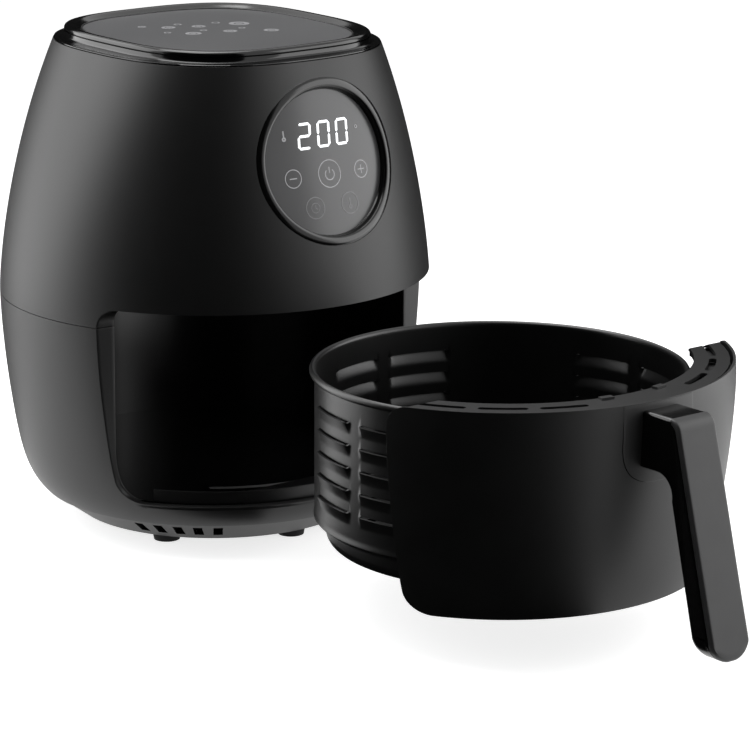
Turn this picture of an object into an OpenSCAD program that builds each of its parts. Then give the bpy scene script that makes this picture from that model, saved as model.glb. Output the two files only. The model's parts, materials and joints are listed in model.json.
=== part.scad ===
/* [Barrel housing] */
// Half width of the barrel at its widest level
belly_r = 134; // [131:0.5:140]
// Height of the widest level above the table
belly_z = 144; // [138:1:152]
// How much narrower the shell is at its top edge than at the belly, on each side
shoulder_in = 43; // [40:0.5:46]
// Depth of the shell's top edge as a share of its width
shoulder_deep = 1.08; // [1.05:0.01:1.12]
// Forward shift of the top edge's centre
shoulder_fwd = 3; // [2:0.5:4]
// Height of the shell's top edge above the table
shoulder_z = 299; // [292:1:306]
// Even part of the taper below the belly
low_taper = 19; // [16:0.5:21]
// Round curl of the barrel just above the base
low_curl = 31; // [26:0.5:34]
// Exponent of the plan outline at the top, where 2 is an ellipse
plan_top = 2.55; // [2.2:0.05:3]
// Wall of the plastic shells
shell_wall = 2.6; // [2:0.1:3.2]
// Height of the seam between upper and lower shell
seam_z = 143.5; // [140:0.5:147]
// Narrow gap in that seam
seam_gap = 0.4; // [0.2:0.1:0.8]

/* [Drawer opening] */
// Height of the opening's top edge
open_top_z = 156; // [154:0.5:158]
// Height of the opening's lower lip
lip_z = 33.5; // [30:0.5:36]
// Depth of the opening, from the belly's front back to the flat jambs
jamb_deep = 84.5; // [80:0.5:90]
// Width of a jamb, from the belly in to the pot's passage
jamb_w = 22; // [20:0.5:23]
// Side view radius at the opening's lower corner
low_corner = 28; // [22:1:34]
// Side view radius at the opening's upper corner
top_corner = 12; // [8:1:14]
// Gap round the closed front panel
panel_gap = 0.8; // [0.6:0.1:1.5]

/* [Base] */
// Height of the rubber feet
foot_h = 5; // [4:0.5:7]
// Radius of a rubber foot
foot_r = 9; // [7:0.5:11]
// Distance of the feet's centres in from the base tray's edge
foot_in = 13; // [12:0.5:18]
// How much narrower the base tray is at its bottom than at its top, on each side
base_in = 17; // [14:0.5:19]
// Step from the shell's lower edge in to the base tray
base_step = 1.7; // [1:0.1:5]
// Height of the base tray
base_h = 14; // [12:0.5:15]
// Width of a base vent slot
vent_w = 5.8; // [4:0.2:7]
// Angle between two base vent slots
vent_pitch = 7; // [6.5:0.1:8]

// Height of the cord inlet at the back
inlet_z = 48; // [44:1:60]
// Radius of the cord inlet's collar
inlet_r = 9; // [8:0.5:10]
// Radius of the hole for the cord
cord_hole_r = 3.6; // [3:0.1:4.2]

/* [Cavity] */
// Wall of the sheet metal liner
liner_wall = 0.8; // [0.6:0.1:1.2]
// Height of the cavity floor above the lip level
floor_rise = 1.2; // [0.8:0.1:2]
// Height of the front rail on the cavity floor
rail_h = 6; // [4:0.5:6.5]
// Distance of the front rail in from the passage's radius
rail_in = 13; // [12:0.5:16]

/* [Top] */
// Step from the shell's top edge in to the tray rim
tray_in = 10; // [9:0.5:13]
// Depth of the tray as a share of its width
tray_deep = 1.1; // [1.05:0.01:1.12]
// Exponent of the tray's outline, where more is squarer
tray_exp = 3; // [2.6:0.1:3.4]
// Height of the tray rim above the shell's top edge
tray_rise = 8; // [7:0.5:10]
// Width of the tray rim round the glass inlay
tray_rim = 10; // [8:0.5:12]
// Depth of the inlay under the rim
inlay_drop = 3; // [2:0.5:4]

/* [Control disc] */
// Height of the control disc's centre
disc_z = 239.5; // [236:0.5:243]
// Depth of the disc's centre under the barrel's front
disc_recess = 6.2; // [5.5:0.1:7]
// Radius of the control glass
disc_r = 44; // [42:0.5:45]
// Width of the ring round the control glass
disc_rim = 6; // [5:0.5:7]
// Backward lean of the disc
disc_lean = 13; // [12:0.5:14]
// Radius of the glass's gentle curve
disc_curve = 200; // [180:5:260]

/* [Rear outlet] */
// Width of the outlet grille
outlet_w = 92; // [80:1:100]
// Height of the outlet grille
outlet_h = 52; // [44:1:56]
// Height of the grille's middle above the table
outlet_z = 215; // [210:1:220]
// Pitch of the grille's slots
outlet_pitch = 6.4; // [6:0.1:7]
// Height of one slot
outlet_slot = 3; // [2.5:0.1:3.5]

/* [Hot air] */
// Distance of the coil's outer turn in from the passage's radius
coil_in = 34; // [30:1:40]
// Radius of the heater rod
rod_r = 3.2; // [2.8:0.1:3.6]
// Turns of the heater coil
coil_turns = 3; // [2:1:3]
// Pitch between the coil's turns
coil_pitch = 14; // [12:0.5:16]
// Clearance from the fan's blades out to the coil's outer turn
fan_in = 16; // [12:1:22]
// Number of fan blades
fan_blades = 12; // [8:1:16]
// Radius of the motor shaft
shaft_r = 3; // [2.5:0.1:3.5]
// Radius of the motor can
motor_r = 36; // [32:1:40]
// Height of the motor can
motor_h = 34; // [30:1:38]

/* [Drawer] */
// Distance that the drawer is drawn out in the rest pose
pull_out = 272; // [266:1:280]
// Gap between the pot's rim and the passage at each side
rim_gap = 3; // [2:0.5:4]
// Overhang of the rolled rim over the pot's louvred wall
rim_out = 3; // [2.5:0.5:4]
// Sheet thickness of the pot
pot_wall = 1; // [0.8:0.1:1.4]
// Height of the pot
pot_h = 104; // [98:0.5:105]
// Step from the louvred wall in to the solid bowl under it
bowl_in = 6.5; // [5.5:0.5:9]
// Height of that bowl
bowl_h = 14; // [12:0.5:16]
// Height of the pot's bottom above the lip when the drawer is in
pot_lift = 9; // [8:0.5:9.5]
// Rows of louvres
louvre_rows = 5; // [3:1:5]
// Distance between two rows
louvre_pitch = 13; // [12:0.25:13.5]
// Distance from the rim down to the first slot
louvre_top = 16; // [14:0.5:18]
// Height of a louvre slot
louvre_slot = 3.6; // [3:0.1:4.5]
// Angle that one louvre spans
louvre_span = 23; // [18:0.5:24]
// Outward reach of a louvre's hood
louvre_hood = 1.8; // [1.2:0.1:2]
// Wall of the front panel
panel_wall = 2.8; // [2.2:0.1:3.2]

/* [Crisper plate] */
// Thickness of the crisper plate
plate_t = 1.5; // [1:0.1:2]
// Radius of a hole in the plate
plate_hole = 3; // [2.5:0.25:3.5]

/* [Handle] */
// Width of the handle
handle_w = 27; // [24:0.5:30]
// Reach of the handle's front face in front of the panel at the arm's top
handle_reach = 28.5; // [27:0.5:33]
// Height of the arm
arm_h = 32; // [29:0.5:34]
// Height of the grip
grip_h = 129; // [120:1:131]
// Outward slant of the grip over its height
grip_slant = 32; // [28:1:35]
// Depth of the grip, front cover included
grip_t = 17; // [16:0.5:19]
// Thickness of the front cover
cover_t = 4; // [3.5:0.5:5]
// Radius of the inner corner between arm and grip
grip_fillet = 12; // [8:0.5:14]
// Radius of the grip's lower back corner
tip_r = 6; // [4:0.5:7]
// Radius of the bend between arm and grip at the front
bend_r = 8; // [6:0.5:10]
// Radius of the front cover's lower edge, seen from the side
cover_r = 2.5; // [1.5:0.5:3]
// Radius of the grip's lower end, seen from the front
end_r = 12; // [9:0.5:12]
// Width of the U-shaped escutcheon
plate_w = 51; // [46:0.5:54]
// Height of the U-shaped escutcheon
plate_h = 45; // [42:0.5:48]

// Width of the bracket that joins the handle's arm to the pot
bracket_w = 20; // [16:1:24]

/* [Hidden] */

// facets of the long curves
round_n = 96;
// points round a barrel section
plan_n = 64;
// rise of one slice of the barrel
slice_n = 9;
eps = 0.01;

// running or seating gap between neighbouring pieces
part_gap = 0.3;

shoulder_r = belly_r - shoulder_in;
jamb_y = belly_r - jamb_deep;
pass_x = belly_r - jamb_w;
rail_r = pass_x - rail_in;
rim_r = pass_x - rim_gap;
pot_r = rim_r - rim_out;
bowl_r = pot_r - bowl_in;
tray_r = shoulder_r - tray_in;
coil_r = pass_x - coil_in;
fan_r = coil_r - fan_in;
base_z = foot_h;
shell_z = base_z + base_h;
cav_z = lip_z + floor_rise;
pot_z = lip_z + pot_lift;
rim_z = pot_z + pot_h;
liner_in = pass_x;
liner_out = pass_x + liner_wall;
inlay_r = tray_r - tray_rim;
flange_in = jamb_y - shell_wall;
roof_z = open_top_z + shell_wall;
plate_z = roof_z + 1;
dome_r = coil_r + 14;
coil_z = plate_z + 12;
fan_z = coil_z + rod_r + 5;
dome_z = fan_z + 30;
motor_z = dome_z + 14;
tray_z = shoulder_z + tray_rise;
disc_deep = 9;
sensor_y = coil_r - 10;

base_top_r = barrel_r(shell_z) - base_step;
base_r = base_top_r - base_in;
foot_ring = base_r - foot_in;
collar_r = base_top_r - 11;
post_ring = foot_ring - 15;
disc_y = front_r(disc_z) - disc_recess;

// Share of the way from the belly to the top edge at height z, zero below the belly
function up(z) = max(0, (z - belly_z) / (shoulder_z - belly_z));

// Share of the way from the belly down to the base at height z
function down(z) = max(0, (belly_z - z) / (belly_z - base_z));

// Half width of the barrel at height z above the table
function barrel_r(z) = belly_r - (belly_r - shoulder_r) * pow(up(z), 1.64)
    - low_taper * pow(down(z), 1.63) - low_curl * pow(down(z), 11.3);

// The plan outline turns from a circle at the belly to a deeper, squarer one at the top
function plan_exp(z) = 2 + (plan_top - 2) * pow(up(z), 2);
function plan_deep(z) = 1 + (shoulder_deep - 1) * pow(up(z), 2);
function plan_fwd(z) = shoulder_fwd * pow(up(z), 2);

// Distance of the barrel's front from the axis at height z
function front_r(z) = barrel_r(z) * plan_deep(z) + plan_fwd(z);
function back_r(z) = barrel_r(z) * plan_deep(z) - plan_fwd(z);

// Superellipse outline with half width r, exponent n, depth share e and forward shift f
function plan(r, n, e = 1, f = 0) = [for (i = [0 : plan_n - 1])
    let (a = 360 * (i + 0.5) / plan_n, k = pow(pow(abs(cos(a)), n) + pow(abs(sin(a)), n), -1 / n))
    [r * k * cos(a), r * k * sin(a) * e - f]];

// Outline of the barrel at height z, moved in from the outside by inset
function section(z, inset) = let (r = barrel_r(z) - inset)
    plan(r, plan_exp(z), (barrel_r(z) * plan_deep(z) - inset) / r, plan_fwd(z));

// Arc points, centre (cx, cy), radius r, from angle a to angle b
function arc(cx, cy, r, a, b, n = 10) = [for (i = [0 : n]) let (t = a + (b - a) * i / n)
    [cx + r * cos(t), cy + r * sin(t)]];

// Solid barrel between two heights, moved in from the outside by inset
module barrel(z0, z1, inset = 0, n = slice_n) {
    for (i = [0 : n - 1]) {
        za = z0 + (z1 - z0) * i / n;
        zb = z0 + (z1 - z0) * (i + 1) / n;
        hull() {
            translate([0, 0, za])
                linear_extrude(eps) polygon(section(za, inset));
            translate([0, 0, zb - (i == n - 1 ? eps : 0)])
                linear_extrude(eps) polygon(section(zb, inset));
        }
    }
}

// Side view of the drawer opening, grown outward by g, as a prism along X
module opening_prism(g, half_x = 200, top_add = 0) {
    y = jamb_y - g;
    zt = open_top_z + g + top_add;
    zb = lip_z - g;
    rt = top_corner + g;
    rb = low_corner + g;
    // drawn with its first axis along -Y
    translate([half_x, 0, 0]) rotate([90, 0, -90])
        linear_extrude(2 * half_x)
            polygon(concat(
                [[200, zb]], [[200, zt]],
                arc(y + rt, zt - rt, rt, 90, 180),
                arc(y + rb, zb + rb, rb, 180, 270)));
}

// Passage that the pot slides through, from the jambs inward
module passage(z0, z1) {
    translate([-pass_x, -jamb_y - 30, z0])
        cube([2 * pass_x, 30 + shell_wall + 2, z1 - z0]);
}

module upper_shell() {
    color([0.07, 0.07, 0.075]) difference() {
        union() {
            difference() {
                barrel(seam_z + seam_gap, shoulder_z, 0);
                barrel(seam_z + seam_gap - 1, shoulder_z + 1, shell_wall);
                opening_prism(0);
            }
            // flange that turns inward along the opening's top corner
            intersection() {
                barrel(seam_z + seam_gap, shoulder_z, shell_wall / 2, 4);
                difference() {
                    opening_prism(shell_wall);
                    opening_prism(0);
                    passage(seam_z - 5, open_top_z);
                    cylinder(r = dome_r + 5, h = 400, $fn = round_n);
                }
            }
        }
        disc_frame() translate([0, 0, -disc_deep - 1])
            cylinder(r = disc_r + disc_rim + 0.3, h = 40, $fn = round_n);
        // rear outlet
        translate([0, belly_r, outlet_z])
            cube([outlet_w + 2 * part_gap, 100, outlet_h + 2 * part_gap], center = true);
    }
}

module lower_shell() {
    color([0.07, 0.07, 0.075]) difference() {
        union() {
            difference() {
                barrel(shell_z, seam_z, 0);
                barrel(shell_z + shell_wall, seam_z + 1, shell_wall);
                opening_prism(0);
            }
            intersection() {
                barrel(shell_z, seam_z, shell_wall / 2, 7);
                difference() {
                    opening_prism(shell_wall);
                    opening_prism(0);
                    passage(lip_z + 0.01, seam_z + 5);
                }
            }
        }
        // hole that the base tray's collar fits in
        translate([0, 0, shell_z - 1]) cylinder(r = collar_r + part_gap, h = shell_wall + 2, $fn = round_n);
        // cord inlet hole
        inlet_frame() translate([0, 0, -20]) cylinder(r = inlet_r + 0.3, h = 40, $fn = 48);
    }
}

module base_tray() {
    color([0.06, 0.06, 0.065]) difference() {
        union() {
            rotate_extrude($fn = round_n) polygon([
                [0, base_z], [base_r - 2, base_z], [base_r, base_z + 1.5],
                [base_top_r, shell_z - part_gap], [collar_r, shell_z - part_gap],
                [collar_r, shell_z + 4], [collar_r - 2.4, shell_z + 4],
                [collar_r - 2.4, shell_z - 2], [base_r - 3, base_z + 2.6], [0, base_z + 2.6]]);
        }
        for (side = [-50, 50, 130, -130])
            for (i = [-2 : 2])
                rotate([0, 0, side + i * vent_pitch])
                    translate([-vent_w / 2, -base_top_r - 5, base_z + 3.6])
                        cube([vent_w, 24, base_h - 6.4]);
        for (a = [45 : 90 : 315]) rotate([0, 0, a])
            translate([post_ring, 0, base_z - 1]) cylinder(r = 1.8, h = 6, $fn = 32);
    }
}

module rubber_feet() {
    color([0.1, 0.1, 0.1]) for (a = [0 : 60 : 300]) rotate([0, 0, a])
        translate([0, -foot_ring, 0]) cylinder(r1 = foot_r - 1, r2 = foot_r, h = foot_h, $fn = 48);
}

module base_posts() {
    // posts that carry the cavity floor on the base tray
    color([0.25, 0.25, 0.26]) for (a = [45 : 90 : 315]) rotate([0, 0, a])
        translate([post_ring, 0, base_z + 2.6]) difference() {
            cylinder(r = 6, h = cav_z - liner_wall - base_z - 2.6, $fn = 40);
            translate([0, 0, -1]) cylinder(r = 1.55, h = 12, $fn = 32);
        }
}

module base_screws() {
    color([0.7, 0.7, 0.72]) for (a = [45 : 90 : 315]) rotate([0, 0, a])
        translate([post_ring, 0, base_z]) {
            translate([0, 0, -1.8]) cylinder(r = 3.4, h = 1.8, $fn = 32);
            cylinder(r = 1.5, h = 11, $fn = 32);
        }
}

// Upright ring between two outlines, each a list of points
module ring_prism(outer, inner, z0, z1) {
    difference() {
        translate([0, 0, z0]) linear_extrude(z1 - z0) polygon(outer);
        translate([0, 0, z0 - 1]) linear_extrude(z1 - z0 + 2) polygon(inner);
    }
}

// Outline of the tray with half width r
function tray_plan(r) = plan(r, tray_exp, (tray_r * tray_deep - tray_r + r) / r, shoulder_fwd);

module shoulder_ring() {
    color([0.02, 0.02, 0.022]) {
        ring_prism(section(shoulder_z - 2, shell_wall + part_gap), tray_plan(tray_r - 9),
            shoulder_z - 6, shoulder_z - 2);
        ring_prism(tray_plan(tray_r - 1.5), tray_plan(tray_r - 9), shoulder_z - 2, tray_z - 6);
    }
}

module top_tray() {
    color([0.02, 0.02, 0.022]) {
        ring_prism(tray_plan(tray_r), tray_plan(inlay_r + 0.4), tray_z - 6, tray_z);
        translate([0, 0, tray_z - 6]) linear_extrude(1.6) polygon(tray_plan(inlay_r + 1));
    }
}

module top_inlay() {
    color([0.2, 0.2, 0.21]) translate([0, 0, tray_z - 4.4])
        linear_extrude(4.4 - inlay_drop) polygon(tray_plan(inlay_r));
}

// Frame of the control disc: origin at the middle of the glass, +Z out of the barrel
module disc_frame() {
    translate([0, -disc_y, disc_z]) rotate([90 - disc_lean, 0, 0]) children();
}

// Everything behind the gently curved front of the glass, moved back by drop
module behind_glass(drop) {
    translate([0, -200, -disc_curve - drop]) rotate([-90, 0, 0])
        cylinder(r = disc_curve, h = 400, $fn = 180);
}

module disc_ring() {
    color([0.02, 0.02, 0.022]) intersection() {
        barrel(disc_z - 60, shoulder_z - 1, 0.4, 8);
        disc_frame() difference() {
            translate([0, 0, -disc_deep]) cylinder(r = disc_r + disc_rim, h = 40, $fn = round_n);
            translate([0, 0, -7.2]) cylinder(r = disc_r + 0.3, h = 40, $fn = round_n);
            translate([0, 0, -1.5])
                cylinder(r1 = disc_r + part_gap, r2 = disc_r + disc_rim + 4, h = 24, $fn = round_n);
            translate([0, 0, -disc_deep - 1]) cylinder(r = disc_r - 3, h = 40, $fn = round_n);
        }
    }
}

module control_glass() {
    color([0.2, 0.2, 0.21]) disc_frame() intersection() {
        translate([0, 0, -10]) cylinder(r = disc_r, h = 20, $fn = round_n);
        difference() {
            behind_glass(0);
            behind_glass(2);
        }
    }
}

module control_board() {
    color([0.1, 0.3, 0.15]) disc_frame() translate([0, 0, -disc_deep]) {
        cylinder(r = disc_r - 3.4, h = 1.6, $fn = 64);
        translate([-20, -36, -6]) cube([14, 10, 6]);
        translate([8, -34, -4]) cube([8, 8, 4]);
    }
}

module display_module() {
    color([0.85, 0.85, 0.82]) disc_frame() translate([-24, 4, -disc_deep + 1.6]) cube([48, 20, 2.8]);
}

// Plan outline of the cavity: round at the back and straight to the front
module cavity_plan(r) {
    circle(r = r, $fn = round_n);
    translate([-r, -flange_in]) square([2 * r, flange_in]);
}

// Depth at which the liner's side wall meets the shell's inner face at height z
function liner_meets(z) =
    -sqrt(max(0, pow(barrel_r(z) - shell_wall - part_gap, 2) - liner_out * liner_out));

module cavity_liner() {
    low = cav_z - liner_wall - 1;
    color([0.5, 0.5, 0.52]) difference() {
        translate([0, 0, cav_z - liner_wall]) linear_extrude(roof_z - cav_z + liner_wall) {
            difference() {
                cavity_plan(liner_out);
                cavity_plan(liner_in);
                translate([-200, -400 - flange_in]) square([400, 400]);
            }
        }
        // switch plunger's hole in the back wall
        translate([0, liner_in - 5, rim_z - 30])
            rotate([-90, 0, 0]) cylinder(r = 4, h = 12, $fn = 40);
        // lower front corners, where the shell itself closes the cavity
        translate([-belly_r, 0, 0]) rotate([90, 0, 90]) linear_extrude(2 * belly_r) polygon(concat(
            [for (i = [0 : 8]) let (z = low + i * (lip_z + low_corner - low) / 8) [liner_meets(z), z]],
            [[-belly_r, lip_z + low_corner], [-belly_r, low]]));
    }
}

module cavity_floor() {
    color([0.3, 0.3, 0.31]) difference() {
        translate([0, 0, cav_z - liner_wall]) linear_extrude(liner_wall) intersection() {
            union() {
                circle(r = liner_in - 0.1, $fn = round_n);
                translate([-liner_in + 0.1, -rail_r - 2]) square([2 * liner_in - 0.2, rail_r]);
            }
            circle(r = barrel_r(cav_z) - panel_wall - 2, $fn = round_n);
            translate([-200, -rail_r - 2]) square([400, 400]);
        }
    }
}

module floor_rail() {
    // low rib on the cavity floor that the pot's bottom glides over
    color([0.12, 0.12, 0.13]) intersection() {
        rotate_extrude($fn = round_n) polygon([
            [rail_r - 5, cav_z], [rail_r, cav_z], [rail_r, cav_z + rail_h - 1],
            [rail_r - 1, cav_z + rail_h], [rail_r - 4, cav_z + rail_h], [rail_r - 5, cav_z + rail_h - 1]]);
        translate([-62, -150, 0]) cube([124, 100, 100]);
    }
}

module stop_post() {
    color([0.12, 0.12, 0.13]) translate([rail_r - 29, -rail_r + 39, cav_z]) {
        cylinder(r = 4, h = rail_h - 1.5, $fn = 32);
        cylinder(r = 2.6, h = rail_h, $fn = 32);
    }
}

module reflector_plate() {
    color([0.6, 0.6, 0.62]) translate([0, 0, roof_z]) linear_extrude(1) difference() {
        intersection() {
            cavity_plan(liner_out + 4);
            translate([-200, -flange_in - 60]) square([400, 400]);
        }
        circle(r = dome_r - 3, $fn = round_n);
    }
}

module reflector_dome() {
    color([0.6, 0.6, 0.62]) difference() {
        rotate_extrude($fn = round_n) polygon([
            [dome_r - 3, plate_z], [dome_r + 6, plate_z], [dome_r + 6, plate_z + 0.8],
            [dome_r + 0.8, plate_z + 0.8], [dome_r - 4, dome_z], [dome_r - 8, dome_z + 0.8],
            [5, dome_z + 0.8], [5, dome_z], [dome_r - 8.4, dome_z], [dome_r - 4.8, dome_z - 0.8],
            [dome_r, plate_z + 0.8], [dome_r - 3, plate_z + 0.8]]);
        translate([0, -sensor_y, dome_z - 4]) cylinder(r = 2.3, h = 8, $fn = 32);
    }
}

module seal_ring() {
    color([0.5, 0.12, 0.08]) translate([0, 0, roof_z - 3]) rotate_extrude($fn = round_n)
        polygon([[dome_r + 1, 0], [dome_r + 4, 0], [dome_r + 4, 3], [dome_r + 1, 3]]);
}

module heater_coil() {
    color([0.3, 0.28, 0.27]) {
        for (i = [0 : coil_turns - 1])
            translate([0, 0, coil_z]) rotate_extrude($fn = round_n)
                translate([coil_r - i * coil_pitch, 0]) circle(r = rod_r, $fn = 24);
        for (a = [80, 100]) rotate([0, 0, a]) translate([coil_r, 0, coil_z])
            cylinder(r = rod_r - 0.4, h = dome_z - coil_z, $fn = 24);
    }
}

module coil_clips() {
    color([0.65, 0.65, 0.67]) for (a = [30, 150, 270]) rotate([0, 0, a])
        translate([coil_r - (coil_turns - 1) * coil_pitch - 6, -3, coil_z - rod_r - 1.3])
            cube([(coil_turns - 1) * coil_pitch + 18 + (dome_r - coil_r - 13), 6, 1]);
}

module motor_shaft() {
    color([0.75, 0.75, 0.77]) translate([0, 0, fan_z - 2])
        cylinder(r = shaft_r, h = motor_z + motor_h + 22 - fan_z, $fn = 32);
}

module hot_air_fan() {
    color([0.75, 0.75, 0.77]) translate([0, 0, fan_z]) difference() {
        union() {
            cylinder(r = fan_r * 0.82, h = 1, $fn = 64);
            cylinder(r = 9, h = 9, $fn = 40);
            for (i = [0 : fan_blades - 1]) rotate([0, 0, i * 360 / fan_blades])
                translate([fan_r * 0.45, -0.5, 0]) rotate([0, 0, 12])
                    cube([fan_r * 0.5, 1, 15]);
        }
        translate([0, 0, -3]) cylinder(r = shaft_r, h = 40, $fn = 32);
    }
}

module motor() {
    color([0.55, 0.55, 0.57]) translate([0, 0, motor_z]) difference() {
        union() {
            cylinder(r = motor_r, h = motor_h, $fn = 64);
            translate([0, 0, motor_h]) cylinder(r = 11, h = 5, $fn = 40);
            translate([0, 0, -4]) cylinder(r = 11, h = 4, $fn = 40);
        }
        translate([0, 0, -5]) cylinder(r = shaft_r + 0.05, h = motor_h + 20, $fn = 40);
    }
}

module motor_bracket() {
    color([0.6, 0.6, 0.62]) {
        translate([0, 0, motor_z - 5.2]) linear_extrude(1.2) difference() {
            circle(r = motor_r + 14, $fn = 64);
            circle(r = shaft_r + 3, $fn = 32);
        }
        for (a = [0, 120, 240]) rotate([0, 0, a + 30])
            translate([motor_r + 8, 0, dome_z + 0.8])
                cylinder(r = 4, h = motor_z - 4.6 - dome_z - 0.8, $fn = 32);
    }
}

module cooling_fan() {
    color([0.9, 0.9, 0.88]) translate([0, 0, motor_z + motor_h + 8]) difference() {
        union() {
            cylinder(r = 9, h = 10, $fn = 40);
            for (i = [0 : 6]) rotate([0, 0, i * 360 / 7])
                translate([6, -1, 0]) rotate([38, 0, 0]) cube([36, 1.2, 11]);
        }
        translate([0, 0, -3]) cylinder(r = shaft_r, h = 40, $fn = 32);
    }
}

module temperature_sensor() {
    color([0.8, 0.8, 0.82]) translate([0, -sensor_y, 0]) {
        translate([0, 0, dome_z - 22]) cylinder(r = 2, h = 30, $fn = 32);
        translate([0, 0, dome_z + 0.8]) cylinder(r = 4.5, h = 1.5, $fn = 32);
    }
}

module thermal_fuse() {
    color([0.85, 0.8, 0.7]) translate([motor_r + 19, -20, dome_z + 0.8]) {
        cylinder(r = 7, h = 5, $fn = 40);
        translate([-9, -3, 0]) cube([18, 6, 1.2]);
    }
}

module power_board() {
    color([0.1, 0.3, 0.15]) rotate([0, 0, 150]) translate([motor_r + 24, 0, dome_z + 12]) {
        translate([-17, -32, 0]) cube([34, 64, 1.6]);
        translate([-10, -26, 1.6]) cube([14, 16, 14]);
        translate([-10, 4, 1.6]) cube([16, 18, 12]);
        for (x = [-14, 14]) for (y = [-28, 28])
            translate([x, y, -11.2]) cylinder(r = 2.5, h = 11.2, $fn = 24);
    }
}

module switch_housing() {
    color([0.15, 0.15, 0.16]) translate([0, liner_out, rim_z - 30]) rotate([-90, 0, 0]) difference() {
        translate([-10, -7, 0]) cube([20, 14, 14]);
        translate([0, 0, -1]) cylinder(r = 2.55, h = 10, $fn = 40);
    }
}

module switch_plunger() {
    color([0.8, 0.25, 0.15]) translate([0, liner_in - 2.4, rim_z - 30]) rotate([-90, 0, 0]) {
        cylinder(r = 2.5, h = 8, $fn = 40);
        translate([0, 0, -1]) cylinder(r = 1.8, h = 1.2, $fn = 32);
    }
}

module outlet_grille() {
    color([0.06, 0.06, 0.065]) difference() {
        intersection() {
            barrel(outlet_z - outlet_h / 2 - 9, outlet_z + outlet_h / 2 + 9, 0.2, 8);
            translate([0, belly_r, outlet_z]) cube([outlet_w, 60, outlet_h], center = true);
        }
        barrel(outlet_z - outlet_h / 2 - 11, outlet_z + outlet_h / 2 + 11, 0.2 + 3, 8);
        for (i = [-3 : 3]) translate([0, belly_r, outlet_z + i * outlet_pitch])
            cube([outlet_w - 14, 80, outlet_slot], center = true);
    }
}

// Lean of the barrel's wall from upright at height z
function wall_lean(z) = atan((barrel_r(z + 10) - barrel_r(z - 10)) / 20);

// Frame of the cord inlet: origin on the back wall, +Z straight out of it
module inlet_frame() {
    translate([0, back_r(inlet_z), inlet_z]) rotate([-90 - wall_lean(inlet_z), 0, 0]) children();
}

module cord_inlet() {
    color([0.05, 0.05, 0.055]) inlet_frame() difference() {
        union() {
            translate([0, 0, -shell_wall - 2.8]) cylinder(r = inlet_r, h = shell_wall + 5.6, $fn = 48);
            translate([0, 0, -shell_wall - 2.8]) cylinder(r = inlet_r + 2, h = 2, $fn = 48);
        }
        translate([0, 0, -20]) cylinder(r = cord_hole_r, h = 40, $fn = 40);
    }
}

module drawer_at() {
    translate([0, -pull_out, 0]) children();
}

// First slot row's middle and the rows' places
function row_z(i) = rim_z - louvre_top - i * louvre_pitch;
louvre_at = [for (g = [90, 180, 270]) for (s = [-0.5, 0.5]) g + s * (louvre_span + 3.5)];

// Ring segment about the pot's axis, angle measured from the front
module ring_part(profile, a, span) {
    rotate([0, 0, a - 90 - span / 2]) rotate_extrude(angle = span, $fn = round_n) polygon(profile);
}

module pot() {
    w = pot_wall;
    color([0.09, 0.09, 0.095]) drawer_at() difference() {
        union() {
            rotate_extrude($fn = round_n) polygon(concat(
                [[0, pot_z]], arc(bowl_r - 6, pot_z + 6, 6, -90, 0, 6),
                [[bowl_r, pot_z + bowl_h - 1], [pot_r - 2, pot_z + bowl_h + 2],
                 [pot_r, pot_z + bowl_h + 4.5], [pot_r, rim_z - 3],
                 [rim_r, rim_z - 3], [rim_r, rim_z - 1], [rim_r - 1, rim_z],
                 [pot_r - w, rim_z], [pot_r - w, pot_z + bowl_h + 5],
                 [pot_r - 2 - w, pot_z + bowl_h + 3], [bowl_r - w, pot_z + bowl_h]],
                arc(bowl_r - 6, pot_z + 6, 6 - w, 0, -90, 6), [[0, pot_z + w]]));
            for (i = [0 : louvre_rows - 1]) for (a = louvre_at)
                ring_part([[pot_r - 0.2, row_z(i) - 7.5], [pot_r + louvre_hood, row_z(i) - 4.5],
                    [pot_r + louvre_hood, row_z(i) - 0.6], [pot_r + louvre_hood - 0.7, row_z(i) - 0.6],
                    [pot_r + louvre_hood - 0.9, row_z(i) - 4],
                    [pot_r - 0.2, row_z(i) - 5.2]], a, louvre_span);
        }
        for (i = [0 : louvre_rows - 1]) for (a = louvre_at)
            ring_part([[pot_r - 3, row_z(i) - louvre_slot], [pot_r + 0.3, row_z(i) - louvre_slot],
                [pot_r + 0.3, row_z(i)], [pot_r - 3, row_z(i)]], a, louvre_span - 1);
    }
}

module crisper_plate() {
    color([0.1, 0.1, 0.105]) drawer_at()
        translate([0, 0, pot_z + 16.5]) linear_extrude(plate_t) difference() {
        circle(r = pot_r - 5, $fn = round_n);
        for (ring = [1 : 5]) for (i = [0 : ring * 6 - 1]) rotate(i * 60 / ring)
            translate([ring * 15, 0]) circle(r = plate_hole, $fn = 24);
    }
}

module plate_feet() {
    color([0.35, 0.1, 0.08]) drawer_at() for (a = [45 : 90 : 315]) rotate([0, 0, a])
        translate([bowl_r - 16, 0, pot_z + pot_wall + 0.3]) cylinder(r = 4, h = 16.2 - pot_wall, $fn = 32);
}

module front_panel() {
    color([0.07, 0.07, 0.075]) drawer_at() difference() {
        intersection() {
            barrel(lip_z + panel_gap, open_top_z - panel_gap, 0, 8);
            opening_prism(-panel_gap);
        }
        barrel(lip_z - 10, open_top_z + 10, panel_wall, 8);
    }
}

module panel_back() {
    color([0.1, 0.1, 0.105]) drawer_at() difference() {
        intersection() {
            barrel(lip_z + panel_gap + 4, open_top_z - panel_gap - 6, panel_wall + 2 * part_gap, 8);
            opening_prism(-panel_gap - 4);
        }
        barrel(lip_z - 10, open_top_z + 10, panel_wall + 2.4, 8);
        translate([-plate_w / 2, -200, open_top_z - 60]) cube([plate_w, 120, 80]);
    }
}

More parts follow.
